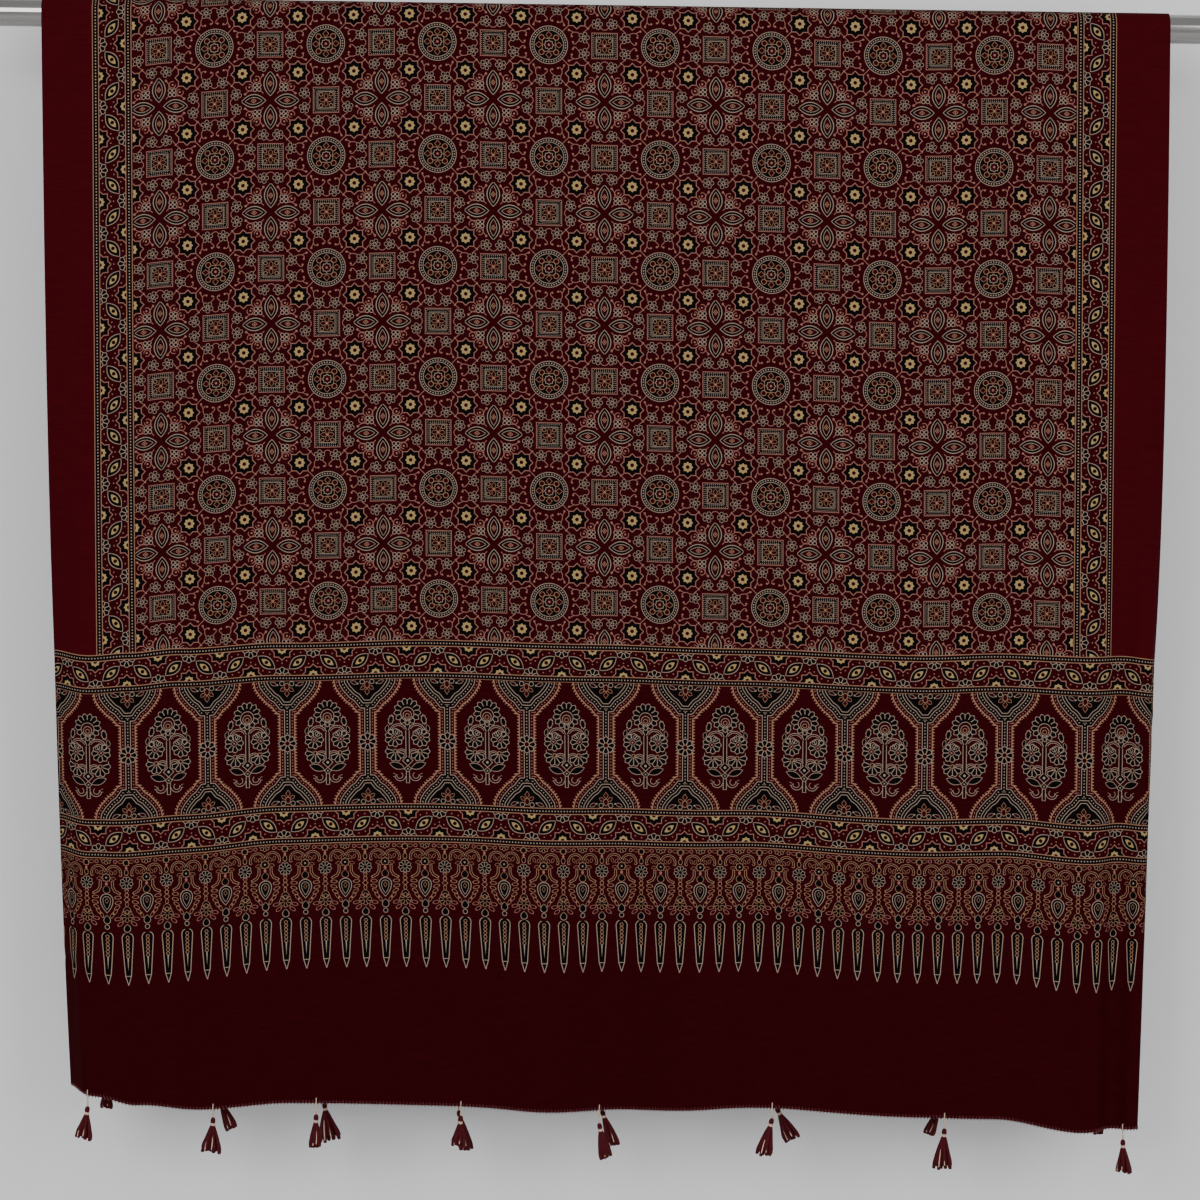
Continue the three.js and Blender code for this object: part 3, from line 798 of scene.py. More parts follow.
def ring_block(tree, masks):
    place, more, less = field_eighth(tree)
    marks(tree, place, masks, RING_MARKS)
    strokes(tree, place, masks, CORNER_VINES[1:])
    away = add(tree, "ShaderNodeVectorMath", place, operation="LENGTH")
    angle = add(tree, "ShaderNodeMath", less, more, operation="ARCTAN2")
    along = add(tree, "ShaderNodeMath", angle, 17.0, operation="MULTIPLY")
    off = add(tree, "ShaderNodeMath", away, 16.75, operation="SUBTRACT")
    beads(tree, masks, "cream", along, off, math.tau * 17 / 40, 0.7)
    turns = add(tree, "ShaderNodeMath", angle, 4.0, operation="MULTIPLY")
    wave = add(tree, "ShaderNodeMath", turns, operation="COSINE")
    waved = add(tree, "ShaderNodeMath", wave, 0.9, away, operation="MULTIPLY_ADD")
    press(tree, masks, "tan", add(tree, "ShaderNodeMath", waved, 7.1, 0.32, operation="COMPARE"))
    turns = add(tree, "ShaderNodeMath", angle, 8.0, operation="MULTIPLY")
    wave = add(tree, "ShaderNodeMath", turns, operation="COSINE")
    waved = add(tree, "ShaderNodeMath", wave, -0.45, away, operation="MULTIPLY_ADD")
    press(tree, masks, "cream", add(tree, "ShaderNodeMath", waved, 4.2, 0.36, operation="COMPARE"))


def star_block(tree, masks):
    place = field_eighth(tree)[0]
    marks(tree, place, masks, STAR_MARKS)
    strokes(tree, place, masks, CORNER_VINES + STAR_VINES)
    curls(tree, place, masks, SPIRAL)


def square_block(tree, masks):
    place, more, less = field_eighth(tree)
    marks(tree, place, masks, SQUARE_MARKS)
    from_middle = add(tree, "ShaderNodeMath", FIELD_HALF, more, operation="SUBTRACT")
    edge = add(tree, "ShaderNodeMath", from_middle, less, operation="MAXIMUM")
    slide = add(tree, "ShaderNodeMath", from_middle, less, operation="MINIMUM")
    off = add(tree, "ShaderNodeMath", edge, 10.4, operation="SUBTRACT")
    off = add(tree, "ShaderNodeMath", off, operation="ABSOLUTE")
    off = add(tree, "ShaderNodeMath", off, 0.95, operation="SUBTRACT")
    beads(tree, masks, "cream", slide, off, 2.0, 0.44)


def cross_block(tree, masks):
    place = field_eighth(tree)[0]
    marks(tree, place, masks, CROSS_MARKS)
    strokes(tree, place, masks, CROSS_VINES)


def five_petals(tree, masks, place, x, y):
    """A small flower of five black petals, each in its own outline, round a black centre."""
    local = add(tree, "ShaderNodeVectorMath", place, (x, y, 0), operation="SUBTRACT")
    away = add(tree, "ShaderNodeVectorMath", local, operation="LENGTH")
    split = add(tree, "ShaderNodeSeparateXYZ", local)
    angle = add(tree, "ShaderNodeMath", split.outputs["Y"], split.outputs["X"], operation="ARCTAN2")
    slide = add(tree, "ShaderNodeMath", angle, 3.7, operation="MULTIPLY")
    slide = add(tree, "ShaderNodeMath", slide, math.tau * 3.7 / 10, operation="PINGPONG")
    off = add(tree, "ShaderNodeMath", away, 3.7, operation="SUBTRACT")
    spot = add(tree, "ShaderNodeCombineXYZ", slide, off)
    reach = add(tree, "ShaderNodeVectorMath", spot, operation="LENGTH")
    press(tree, masks, "cream", add(tree, "ShaderNodeMath", reach, 1.95, operation="LESS_THAN"))
    press(tree, masks, "cream", add(tree, "ShaderNodeMath", away, 1.7, operation="LESS_THAN"))
    press(tree, masks, "pip", add(tree, "ShaderNodeMath", reach, 1.5, operation="LESS_THAN"))
    press(tree, masks, "pip", add(tree, "ShaderNodeMath", away, 1.15, operation="LESS_THAN"))


def ring_vines(tree, masks):
    place = field_eighth(tree)[0]
    marks(tree, place, masks, RING_SIDE_MARKS)
    strokes(tree, place, masks, OPEN_VINES)
    curls(tree, place, masks, ARCHES[:1])
    five_petals(tree, masks, place, 35.0, 8.0)


def cross_vines(tree, masks):
    place = field_eighth(tree)[0]
    marks(tree, place, masks, CROSS_SIDE_MARKS)
    strokes(tree, place, masks, CORNER_VINES[:1] + STAR_VINES[:1] + CROSS_VINES)
    curls(tree, place, masks, SPIRAL + ARCHES[1:])
    five_petals(tree, masks, place, 48.2, 21.6)


# Arcade. Beaded posts branch at top and bottom into beaded slopes round a filled triangle, and leave
# eight-sided openings with saw-toothed edges; half of one opening and half of one post is charted.
POST_LINE = [(0, 63), (0, 26.9), (5.6, 26.7), (11, 19.6), (15.2, 16.9), (21.4, 9.8), (24.6, 4.5), (25.6, -1)]
CORNER_MARKS = [
    ("round", 0, 6.0, 2.3, 3.3, 0, "maroon", "tan", 1.0),
    ("lens", 4.2, 9.0, 2.8, 1.7, 35, "maroon", "tan", 1.1),
    ("diamond", 0, 12.8, 2.4, 3.4, 0, "maroon", "tan", 1.0),
    ("round", 4.8, 3.0, 2.2, 2.2, 0, None, "cream", 0.9),
    ("lens", 13.2, 3.4, 3.8, 1.7, -25, "maroon", "cream", 1.1),
    ("round", 9.3, 4.6, 0.8, 0.8, 0, "cream", None, 0),
]
POST_FLOWER = [("cream", 0, 63, 8.6, 8, 90, 1.3, 2.2)]
POST_HUB = [
    ("round", 0, 63, 2.2, 2.2, 0, "maroon", None, 0),
    ("round", 0, 63, 2.5, 2.5, 0, None, "tan", 1.0),
]


def arcade_steps(tree):
    across, up = flat_steps(tree, PLANT_ACROSS, ARCADE_TOP, ARCADE_STEP)
    up = from_nearer_end(tree, up, ARCADE_TOP, ARCADE_STEP)
    down = add(tree, "ShaderNodeMath", up, -1.0, operation="MULTIPLY")
    from_plant = add(tree, "ShaderNodeMath", across, PLANTS_APART / 2 / ARCADE_STEP, operation="PINGPONG")
    return from_plant, down


def arcade(tree, masks):
    from_plant, down = arcade_steps(tree)
    from_post = add(tree, "ShaderNodeMath", PLANTS_APART / 2 / ARCADE_STEP, from_plant, operation="SUBTRACT")
    folded = add(tree, "ShaderNodeMath", down, 63.0, operation="PINGPONG")
    place = add(tree, "ShaderNodeCombineXYZ", from_post, folded)
    away = None
    for start, end in zip(POST_LINE, POST_LINE[1:]):
        near = from_segment(tree, place, start, end)
        away = near if away is None else add(tree, "ShaderNodeMath", away, near, operation="MINIMUM")
    slope = add(tree, "ShaderNodeVectorMath", place, (1, 0.75, 0), operation="DOT_PRODUCT")
    in_corner = add(tree, "ShaderNodeMath", slope, 26.6, operation="LESS_THAN")
    high = add(tree, "ShaderNodeMath", folded, 26.8, operation="LESS_THAN")
    in_corner = add(tree, "ShaderNodeMath", in_corner, high, operation="MULTIPLY")
    outside = add(tree, "ShaderNodeMath", 1.0, in_corner, operation="SUBTRACT")
    slide = add(tree, "ShaderNodeVectorMath", place, (0.68, -0.73, 0), operation="DOT_PRODUCT")
    slide = add(tree, "ShaderNodeMix", high, folded, slide)
    # The beaded band, the plain line inside it, then the dotted band and saw-toothed line outside it.
    press(tree, masks, "black", in_corner)
    press(tree, masks, "black", add(tree, "ShaderNodeMath", away, 2.6, operation="LESS_THAN"))
    press(tree, masks, "cream", add(tree, "ShaderNodeMath", away, 2.6, 0.36, operation="COMPARE"))
    line = add(tree, "ShaderNodeMath", away, 5.4, 0.35, operation="COMPARE")
    press(tree, masks, "cream", add(tree, "ShaderNodeMath", line, in_corner, operation="MULTIPLY"))
    beads(tree, masks, "cream", slide, away, 3.1, 0.65)
    dots = {}
    beads(tree, dots, "salmon", slide, add(tree, "ShaderNodeMath", away, 5.0, operation="SUBTRACT"), 3.1, 0.6)
    press(tree, dots, "tan", add(tree, "ShaderNodeMath", away, 7.2, 0.4, operation="COMPARE"))
    tooth = add(tree, "ShaderNodeMath", slide, 1.5, operation="PINGPONG")
    tooth = add(tree, "ShaderNodeMath", tooth, 2.0, away, operation="MULTIPLY_ADD")
    tooth = add(tree, "ShaderNodeMath", tooth, 9.9, operation="LESS_THAN")
    beyond = add(tree, "ShaderNodeMath", away, 7.0, operation="GREATER_THAN")
    press(tree, dots, "tan", add(tree, "ShaderNodeMath", tooth, beyond, operation="MULTIPLY"))
    cut_to(tree, dots, outside)
    for layer in dots:
        press(tree, masks, layer, dots[layer])
    marks(tree, place, masks, CORNER_MARKS)
    from_flower = add(tree, "ShaderNodeVectorMath", place, (0, 63, 0), operation="DISTANCE")
    cut_to(tree, masks, add(tree, "ShaderNodeMath", from_flower, 8.3, operation="GREATER_THAN"))
    rosettes(tree, place, masks, POST_FLOWER)
    marks(tree, place, masks, POST_HUB)


# Flowering plant in each opening: a fan-shaped flower, two round ones and two drooping ones.
PLANT_ROSETTES = [("cream", 0, 33.6, 13.4, 13, 90, 1.2, 7.2), ("cream", 13.2, 59.7, 9.3, 9, 18, 1.2, 3.6)]
DROOPING = [("cream", 12.0, 73.4, 10.2, 10, 0, 1.2, 2.8)]
PLANT_MARKS = [
    ("round", 0, 36.0, 6.4, 6.4, 0, "maroon", None, 0),
    ("round", 0, 36.0, 6.6, 6.6, 0, None, "cream", 1.0),
    ("round", 0, 37.2, 4.2, 4.2, 0, "black", "cream", 0.9),
    ("round", 0, 37.8, 2.0, 2.0, 0, None, "tan", 1.0),
    ("lens", 0, 47.8, 5.6, 2.3, 90, "black", "cream", 1.3),
    ("star", 16.4, 41.8, 3.6, 1.9, 78, "black", "cream", 1.1),
    ("lens", 20.4, 50.4, 3.6, 1.8, 75, "black", "cream", 1.1),
    ("round", 16.8, 54.2, 2.3, 2.3, 0, "black", "cream", 0.8),
    ("round", 9.7, 54.0, 2.3, 2.3, 0, "black", "cream", 0.8),
    ("round", 13.2, 59.7, 3.0, 3.0, 0, "maroon", None, 0),
    ("diamond", 13.2, 59.7, 3.4, 3.4, 0, None, "cream", 1.0),
    ("round", 13.2, 59.7, 1.0, 1.0, 0, "salmon", None, 0),
    ("round", 12.0, 73.4, 1.9, 1.9, 0, None, "tan", 1.1),
    ("diamond", 0, 82.8, 5.2, 5.2, 0, "black", "cream", 1.4),
    ("round", 0, 82.8, 1.3, 1.3, 0, "cream", None, 0),
    ("diamond", 0, 91.2, 3.4, 3.4, 0, "black", "cream", 1.2),
    ("round", 0, 91.2, 0.8, 0.8, 0, "cream", None, 0),
    ("lens", 10.6, 87.9, 7.8, 3.2, -20, "black", "cream", 1.7),
    ("lens", 14.2, 97.0, 3.0, 1.5, -20, None, "cream", 1.0),
]
PLANT_STEMS = [
    ("cream", 6.6, [(0, 54), (0, 77)]),
    ("pip", 4.4, [(0, 53), (0, 77.5)]),
    ("cream", 6.2, [(0, 95), (0, 104)]),
    ("pip", 4.0, [(0, 95), (0, 104)]),
]
PLANT_BRANCHES = [
    ("cream", 9.2, 54.6, 8.7, 1.0, -90, 72),
    ("cream", 9.2, 54.6, 6.9, 0.9, -90, 62),
    ("cream", 6.2, 77.2, 6.0, 0.9, -90, 66),
    ("cream", 6.2, 77.2, 4.4, 0.9, -90, 60),
    ("cream", 7.6, 97.4, 5.6, 1.0, 90, 80),
    ("cream", 8.0, 97.6, 3.0, 0.9, 110, 130),
]


def plant(tree, masks):
    from_plant, down = arcade_steps(tree)
    place = add(tree, "ShaderNodeCombineXYZ", from_plant, down)
    drooping = {}
    rosettes(tree, place, drooping, DROOPING)
    facing = add(tree, "ShaderNodeVectorMath", place, (0.40, 0.92, 0), operation="DOT_PRODUCT")
    cut_to(tree, drooping, add(tree, "ShaderNodeMath", facing, 70.9, operation="GREATER_THAN"))
    masks.update(drooping)
    curls(tree, place, masks, PLANT_BRANCHES)
    rosettes(tree, place, masks, PLANT_ROSETTES)
    marks(tree, place, masks, PLANT_MARKS)
    strokes(tree, place, masks, PLANT_STEMS)


# Pendants. Drops under double arches and beaded rods hang in turn, and a spear hangs under each.
PENDANT_STEP = 0.981
PENDANT_TOP = 261.7
SPEAR_APART = 19.643 / PENDANT_STEP
PENDANT_ROSETTES = [("tan", 0, 0.6, 5.4, 8, 90, 0.9, 1.2)]
PENDANT_MARKS = [
    ("round", 9.2, 3.2, 1.6, 1.6, 0, None, "salmon", 0.9),
    ("lens", 5.0, 14.2, 2.6, 1.3, 60, None, "tan", 0.9),
    ("lens", 9.2, 13.6, 2.6, 1.3, 115, None, "tan", 0.9),
    ("star", 0, 19.4, 3.2, 3.2, 0, "black", "tan", 1.0),
    ("round", 0, 19.4, 0.9, 0.9, 0, "cream", None, 0),
    ("lens", 6.8, 20.2, 2.8, 1.4, 10, None, "tan", 0.9),
    ("round", 0, 25.6, 1.4, 1.4, 0, "salmon", None, 0),
    ("drop", 0, 31.6, 4.4, 3.2, -90, "black", None, 0),
    ("drop", 0, 31.6, 4.6, 3.4, -90, None, "tan", 1.0),
    ("drop", 0, 42.0, 12.8, 6.2, 90, "black", "cream", 1.9),
    ("drop", 0, 42.2, 9.4, 3.8, 90, None, "cream", 1.6),
    ("diamond", 0, 42.8, 2.6, 1.7, 90, None, "tan", 0.9),
    ("round", 11.2, 38.9, 3.1, 1.5, -5, None, "tan", 1.0),
    ("round", 11.5, 44.0, 3.1, 1.5, -18, None, "tan", 1.0),
    ("round", 10.3, 49.0, 3.1, 1.5, -35, None, "tan", 1.0),
    ("round", 8.2, 53.4, 3.1, 1.5, -50, None, "tan", 1.0),
    ("round", 5.2, 57.0, 3.0, 1.4, -62, None, "tan", 1.0),
    ("drop", 0, 62.4, 5.0, 3.3, -90, "black", "cream", 1.2),
    ("round", 0, 69.0, 2.0, 2.0, 0, "black", None, 0),
    ("round", 0, 69.0, 2.2, 2.2, 0, None, "cream", 1.0),
]
PENDANT_ARMS = [
    ("tan", 4.4, [(6.0, 23.4), (6.2, 28.8), (8.4, 32.6), (13.0, 35.0)]),
    ("pip", 2.4, [(6.0, 23.4), (6.2, 28.8), (8.4, 32.6), (12.6, 34.8)]),
]
PENDANT_ARCHES = [
    ("black", 7.6, 14.6, 7.0, 2.9, -82, 100),
    ("tan", 7.6, 14.6, 7.9, 0.9, -82, 102),
    ("tan", 7.6, 14.6, 6.1, 0.9, -82, 92),
    ("tan", 14.2, 16.4, 1.4, 0.9, 60, 120),
]
ROD_ROSETTES = [("cream", 0, 24.6, 6.5, 9, 90, 0.9, 1.6), ("tan", 0, 57.3, 6.2, 8, 90, 0.9, 1.5)]
ROD_MARKS = [
    ("star", 0, 4.4, 2.4, 2.4, 0, "black", "tan", 1.0),
    ("lens", 5.4, 3.4, 3.2, 1.6, -10, None, "tan", 0.9),
    ("round", 0, 9.4, 1.2, 1.2, 0, "tan", None, 0),
    ("round", 0, 14.0, 1.9, 2.9, 0, "black", "tan", 1.0),
    ("diamond", 0, 32.0, 2.0, 2.6, 0, None, "tan", 1.1),
    ("round", 0, 36.4, 1.8, 2.0, 0, None, "tan", 1.0),
    ("diamond", 0, 40.8, 2.8, 2.8, 0, None, "tan", 1.2),
    ("round", 0, 45.6, 1.5, 2.4, 0, None, "tan", 1.0),
    ("drop", 0, 51.4, 3.6, 3.4, -90, "black", None, 0),
    ("drop", 0, 51.4, 3.8, 3.6, -90, None, "tan", 1.0),
    ("round", 9.2, 60.4, 3.1, 1.6, 12, None, "salmon", 1.0),
    ("round", 6.8, 65.2, 3.1, 1.6, 35, None, "salmon", 1.0),
    ("drop", 0, 70.0, 4.6, 3.3, -90, "black", "cream", 1.2),
]


def pendant_steps(tree, half):
    across, up = flat_steps(tree, -4.0, PENDANT_TOP, PENDANT_STEP)
    up = from_nearer_end(tree, up, PENDANT_TOP, PENDANT_STEP)
    down = add(tree, "ShaderNodeMath", up, -1.0, operation="MULTIPLY")
    return add(tree, "ShaderNodeMath", across, half, operation="PINGPONG"), down


def pendants(tree, masks):
    from_rod, down = pendant_steps(tree, SPEAR_APART)
    place = add(tree, "ShaderNodeCombineXYZ", from_rod, down)
    rosettes(tree, place, masks, ROD_ROSETTES)
    marks(tree, place, masks, ROD_MARKS)
    from_drop = add(tree, "ShaderNodeMath", SPEAR_APART, from_rod, operation="SUBTRACT")
    place = add(tree, "ShaderNodeCombineXYZ", from_drop, down)
    curls(tree, place, masks, PENDANT_ARCHES)
    strokes(tree, place, masks, PENDANT_ARMS)
    rosettes(tree, place, masks, PENDANT_ROSETTES)
    marks(tree, place, masks, PENDANT_MARKS)


def spears(tree, masks):
    beside, down = pendant_steps(tree, SPEAR_APART / 2)
    taper = add(tree, "ShaderNodeMapRange", down, 79.5, 117.0, 5.6, 2.9)
    point = add(tree, "ShaderNodeMapRange", down, 117.0, 126.4, 1.0, 0.0)
    edge = add(tree, "ShaderNodeMath", taper, point, operation="MULTIPLY")
    shaft = add(tree, "ShaderNodeMath", beside, edge, operation="SUBTRACT")
    place = add(tree, "ShaderNodeCombineXYZ", beside, down)
    cap = add(tree, "ShaderNodeVectorMath", place, (0, 79.5, 0), operation="DISTANCE")
    cap = add(tree, "ShaderNodeMath", cap, 5.6, operation="SUBTRACT")
    below = add(tree, "ShaderNodeMath", down, 79.5, operation="GREATER_THAN")
    reach = add(tree, "ShaderNodeMix", below, cap, shaft)
    inside = add(tree, "ShaderNodeMath", reach, 0.0, operation="LESS_THAN")
    press(tree, masks, "black", inside)
    ends = add(tree, "ShaderNodeMath", down, 126.4, operation="LESS_THAN")
    outline = add(tree, "ShaderNodeMath", reach, 0.0, 0.42, operation="COMPARE")
    press(tree, masks, "cream", add(tree, "ShaderNodeMath", outline, ends, operation="MULTIPLY"))
    bar = add(tree, "ShaderNodeMath", down, 117.2, 0.35, operation="COMPARE")
    press(tree, masks, "cream", add(tree, "ShaderNodeMath", bar, inside, operation="MULTIPLY"))
    slide = add(tree, "ShaderNodeMath", down, 78.6, operation="SUBTRACT")
    slide = add(tree, "ShaderNodeMath", slide, 1.88, operation="PINGPONG")
    ringlet = add(tree, "ShaderNodeCombineXYZ", slide, beside)
    ringlet = add(tree, "ShaderNodeVectorMath", ringlet, operation="LENGTH")
    chain = add(tree, "ShaderNodeMath", ringlet, 1.55, 0.3, operation="COMPARE")
    rows_of_six = add(tree, "ShaderNodeMath", down, 88.0, 11.2, operation="COMPARE")
    press(tree, masks, "tan", add(tree, "ShaderNodeMath", chain, rows_of_six, operation="MULTIPLY"))
    needle = add(tree, "ShaderNodeMapRange", down, 99.2, 112.0, 0.75, 0.0)
    needle = add(tree, "ShaderNodeMath", needle, beside, operation="GREATER_THAN")
    lower = add(tree, "ShaderNodeMath", down, 99.2, operation="GREATER_THAN")
    press(tree, masks, "cream", add(tree, "ShaderNodeMath", needle, lower, operation="MULTIPLY"))


# Each part of the print, with the dye under it and what is pressed on it.
PRINTS = {
    "margin_dye": (MARGIN_DYE, None),
    "end_band_dye": (BAND_DYE, None),
    "ring_print": (INK["maroon"], ring_block),
    "star_print": (INK["maroon"], star_block),
    "square_print": (INK["maroon"], square_block),
    "cross_print": (INK["maroon"], cross_block),
    "cross_vine_print": (INK["maroon"], cross_vines),
    "side_strip_print": (INK["maroon"], side_strip),
    "upper_strip_print": (INK["maroon"], upper_strip),
    "lower_strip_print": (INK["maroon"], lower_strip),
    "arcade_print": (BAND_DYE, arcade),
    "plant_print": (BAND_DYE, plant),
    "pendant_print": (INK["maroon"], pendants),
    "spear_print": (BAND_DYE, spears),
    "ring_vine_print": (INK["maroon"], ring_vines),
}
for name, (dye, printed) in PRINTS.items():
    cloth_mesh.materials.append(cloth_material(name, dye, printed))


def fold_back(value, half):
    """The distance to the nearest multiple of twice the half."""
    return np.abs((value - half) % (2 * half) - half)


centre_across = (columns[:-1] + columns[1:]) / 2
centre_up = (rows[:-1] + rows[1:]) / 2
face_across, face_up = np.meshgrid(centre_across, centre_up)
ring_across = fold_back((face_across - RING_ACROSS) / FIELD_STEP, FIELD_HALF)
ring_up = fold_back((face_up - RING_UP) / FIELD_STEP, FIELD_HALF)
more = np.maximum(ring_across, ring_up)
less = np.minimum(ring_across, ring_up)
end_up = CLOTH_LONG / 2 - np.abs(face_up - CLOTH_LONG / 2)
side = np.minimum(face_across, PRINT_WIDE - face_across)
from_plant = fold_back((face_across - PLANT_ACROSS) / ARCADE_STEP, PLANTS_APART / 2 / ARCADE_STEP)
down = (ARCADE_TOP - end_up) / ARCADE_STEP
above = end_up > PANEL_TOP
inner_field = above & (side > STRIP_IN)
in_arcade = (end_up > LOW_STRIP_TOP) & (end_up < PLANTS_TOP)
wide_opening = (from_plant < 14.6) & (down > 19) & (down < 108)
high_opening = (from_plant < 23.3) & (down > 35) & (down < 91)
places = [
    (end_up < SPEAR_TIPS, "end_band_dye"),
    (inner_field, "cross_vine_print"),
    (inner_field & (more < 41.9) & (less < 16.0), "ring_vine_print"),
    (inner_field & (more > 47.8) & (less > 27.1), "cross_print"),
    (inner_field & (more > 41.9) & (less < 13.9), "square_print"),
    (inner_field & (more > 16.0) & (more < 39.8) & (less > 16.0), "star_print"),
    (inner_field & (more < 19.9), "ring_print"),
    (above & (side > STRIP_OUT) & (side < STRIP_IN), "side_strip_print"),
    ((end_up > PLANTS_TOP) & (end_up < PANEL_TOP), "upper_strip_print"),
    ((end_up > PENDANT_TOPS) & (end_up < LOW_STRIP_TOP), "lower_strip_print"),
    (in_arcade, "arcade_print"),
    (in_arcade & (wide_opening | high_opening), "plant_print"),
    ((end_up > SPEAR_TOPS) & (end_up < PENDANT_TOPS), "pendant_print"),
    ((end_up > SPEAR_TIPS) & (end_up < SPEAR_TOPS), "spear_print"),
]
zone = np.zeros(face_across.shape, dtype=np.int32)
for there, name in places:
    zone[there] = list(PRINTS).index(name)
cloth_mesh.polygons.foreach_set("material_index", zone.reshape(-1))

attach(cloth, "root")
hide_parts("cloth")


# Strands. Sewing thread, hem stitches and tassel yarn are all laid along paths of their own and given
# their thickness by one tree, which reads how thick each path is at each of its points.
def spinning_tree():
    tree = bpy.data.node_groups.new("spun_strands", "GeometryNodeTree")
    tree.interface.new_socket("Paths", in_out="INPUT", socket_type="NodeSocketGeometry")
    tree.interface.new_socket("Sides", in_out="INPUT", socket_type="NodeSocketInt")
    tree.interface.new_socket("Yarn", in_out="INPUT", socket_type="NodeSocketMaterial")
    tree.interface.new_socket("Strands", in_out="OUTPUT", socket_type="NodeSocketGeometry")
    given = tree.nodes.new("NodeGroupInput")
    line = add(tree, "GeometryNodeMeshToCurve", given.outputs["Paths"])
    thickness = add(tree, "GeometryNodeInputNamedAttribute", "thickness", data_type="FLOAT")
    line = add(tree, "GeometryNodeSetCurveRadius", line)
    tree.links.new(thickness.outputs["Attribute"], line.inputs["Radius"])
    ring = add(tree, "GeometryNodeCurvePrimitiveCircle", given.outputs["Sides"], 1.0)
    tube = add(tree, "GeometryNodeCurveToMesh", line, ring)
    tube.inputs["Fill Caps"].default_value = True
    if "Scale" in tube.inputs:
        tree.links.new(thickness.outputs["Attribute"], tube.inputs["Scale"])
    smooth = add(tree, "GeometryNodeSetShadeSmooth", tube)
    dyed = add(tree, "GeometryNodeSetMaterial", smooth)
    tree.links.new(given.outputs["Yarn"], dyed.inputs["Material"])
    single = add(tree, "GeometryNodeRealizeInstances", dyed)
    add(tree, "NodeGroupOutput", single)
    return tree


SPINNING = spinning_tree()


def spun(name, paths, sides, yarn):
    """One object of strands, from paths of (place in mm, radius in mm)."""
    places = [place * MM for path in paths for place, radius in path]
    mesh = bpy.data.meshes.new(name + "_paths")
    edges = []
    first = 0
    for path in paths:
        edges += [(first + i, first + i + 1) for i in range(len(path) - 1)]
        first += len(path)
    mesh.from_pydata([tuple(place) for place in places], edges, [])
    thickness = mesh.attributes.new("thickness", "FLOAT", "POINT")
    thickness.data.foreach_set("value", [radius * MM for path in paths for place, radius in path])
    piece = new_object(name, mesh)
    spinner = piece.modifiers.new("spinning", "NODES")
    spinner.node_group = SPINNING
    sockets = {item.name: item.identifier for item in SPINNING.interface.items_tree if item.in_out == "INPUT"}
    spinner[sockets["Sides"]] = sides
    spinner[sockets["Yarn"]] = yarn
    bpy.context.view_layer.update()
    whole = bpy.data.meshes.new_from_object(piece.evaluated_get(bpy.context.evaluated_depsgraph_get()))
    piece.modifiers.remove(spinner)
    whole.name = name
    piece.data = whole
    bpy.data.meshes.remove(mesh)
    return piece


def yarn_material(name, colour, paler, roughness, lengthwise):
    """Yarn of many fine fibres, which show as thin lighter and darker lines along it."""
    material = new_material(name)
    tree = material.node_tree
    where = add(tree, "ShaderNodeTexCoord").outputs["Object"]
    fibres = add(tree, "ShaderNodeVectorMath", where, lengthwise, operation="MULTIPLY")
    fibres = add(tree, "ShaderNodeTexNoise", fibres, 1.0, 3.0, 0.65)
    tone = add(tree, "ShaderNodeMapRange", fibres, 0.35, 0.68, 0.0, 1.0)
    tint = add(tree, "ShaderNodeMix", tone, colour, paler, data_type="RGBA")
    relief = add(tree, "ShaderNodeBump", 0.5, 0.0003)
    tree.links.new(fibres.outputs[0], relief.inputs["Height"])
    surface = add(tree, "ShaderNodeBsdfPrincipled", tint)
    surface.inputs["Roughness"].default_value = roughness
    surface.inputs["Specular IOR Level"].default_value = 0.12
    surface.inputs["Sheen Weight"].default_value = 0.05
    surface.inputs["Sheen Tint"].default_value = paler
    tree.links.new(relief.outputs[0], surface.inputs["Normal"])
    add(tree, "ShaderNodeOutputMaterial", surface)
    return material


# Hem. Both ends are overlocked in maroon thread, whose loops stand out below the edge in small
# scallops and catch the light. The thread's colours are painted paler and pinker than the maroon,
# a painted highlight along the loops.
overlock_thread_painted_highlight = yarn_material("overlock_thread_painted_highlight", ink("#481219"), ink("#6F3F42"), 0.6, (900, 900, 500))
STITCH_APART = 3.3
STITCH = [(0.0, 2.6, -0.42), (1.1, 0.3, -0.42), (1.65, -1.2, 0.0), (2.2, 0.3, 0.42), (3.3, 2.6, 0.42)]


def hem_place(across, end, above, forward):
    """A place at a hem, in mm: above it on the cloth, and forward of the cloth's middle (away if over 0)."""
    inside = max(above, 0.0)
    x, y, z = drape(across, inside if end == 0 else CLOTH_LONG - inside) / MM
    return Vector((x, y + forward, z + min(above, 0.0)))


for end, hem_name in ((0, "front_hem_stitches"), (1, "back_hem_stitches")):
    loops = []
    for i in range(int((CLOTH_WIDE - 1) / STITCH_APART)):
        start = 0.5 + i * STITCH_APART
        loops += [(hem_place(start + run, end, above, forward), 0.42) for run, above, forward in STITCH]
    hem_stitches = spun(hem_name, [loops], 5, overlock_thread_painted_highlight)
    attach(hem_stitches, "root")
    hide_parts("cloth")

# Tassels. Each is a small bundle of soft maroon yarn, folded over and bound at the neck with cream
# cotton, whose ends hang in the skirt. The same cotton is sewn through the hem to hang the tassel.
# Where along the hem, how long the cotton is, its lean in degrees, how long the tassel, its spread.
TASSELS = {
    "front": [
        (30, 11, -9, 31, 19), (156, 8, -4, 33, 22), (258, 11, -3, 31, 12), (401, 9, -6, 29, 15),
        (543, 13, 12, 34, 13), (720, 10, -13, 36, 17), (890, 10, -3, 38, 20), (1073, 10, 2, 31, 18),
    ],
    "back": [
        (24, 9, -4, 26, 13), (157, 11, 22, 33, 13), (268, 11, 9, 37, 24), (403, 12, 11, 38, 14),
        (546, 11, 18, 36, 14), (721, 9, 27, 34, 18), (886, 8, -22, 30, 12), (1068, 9, 0, 21, 10),
    ],
}
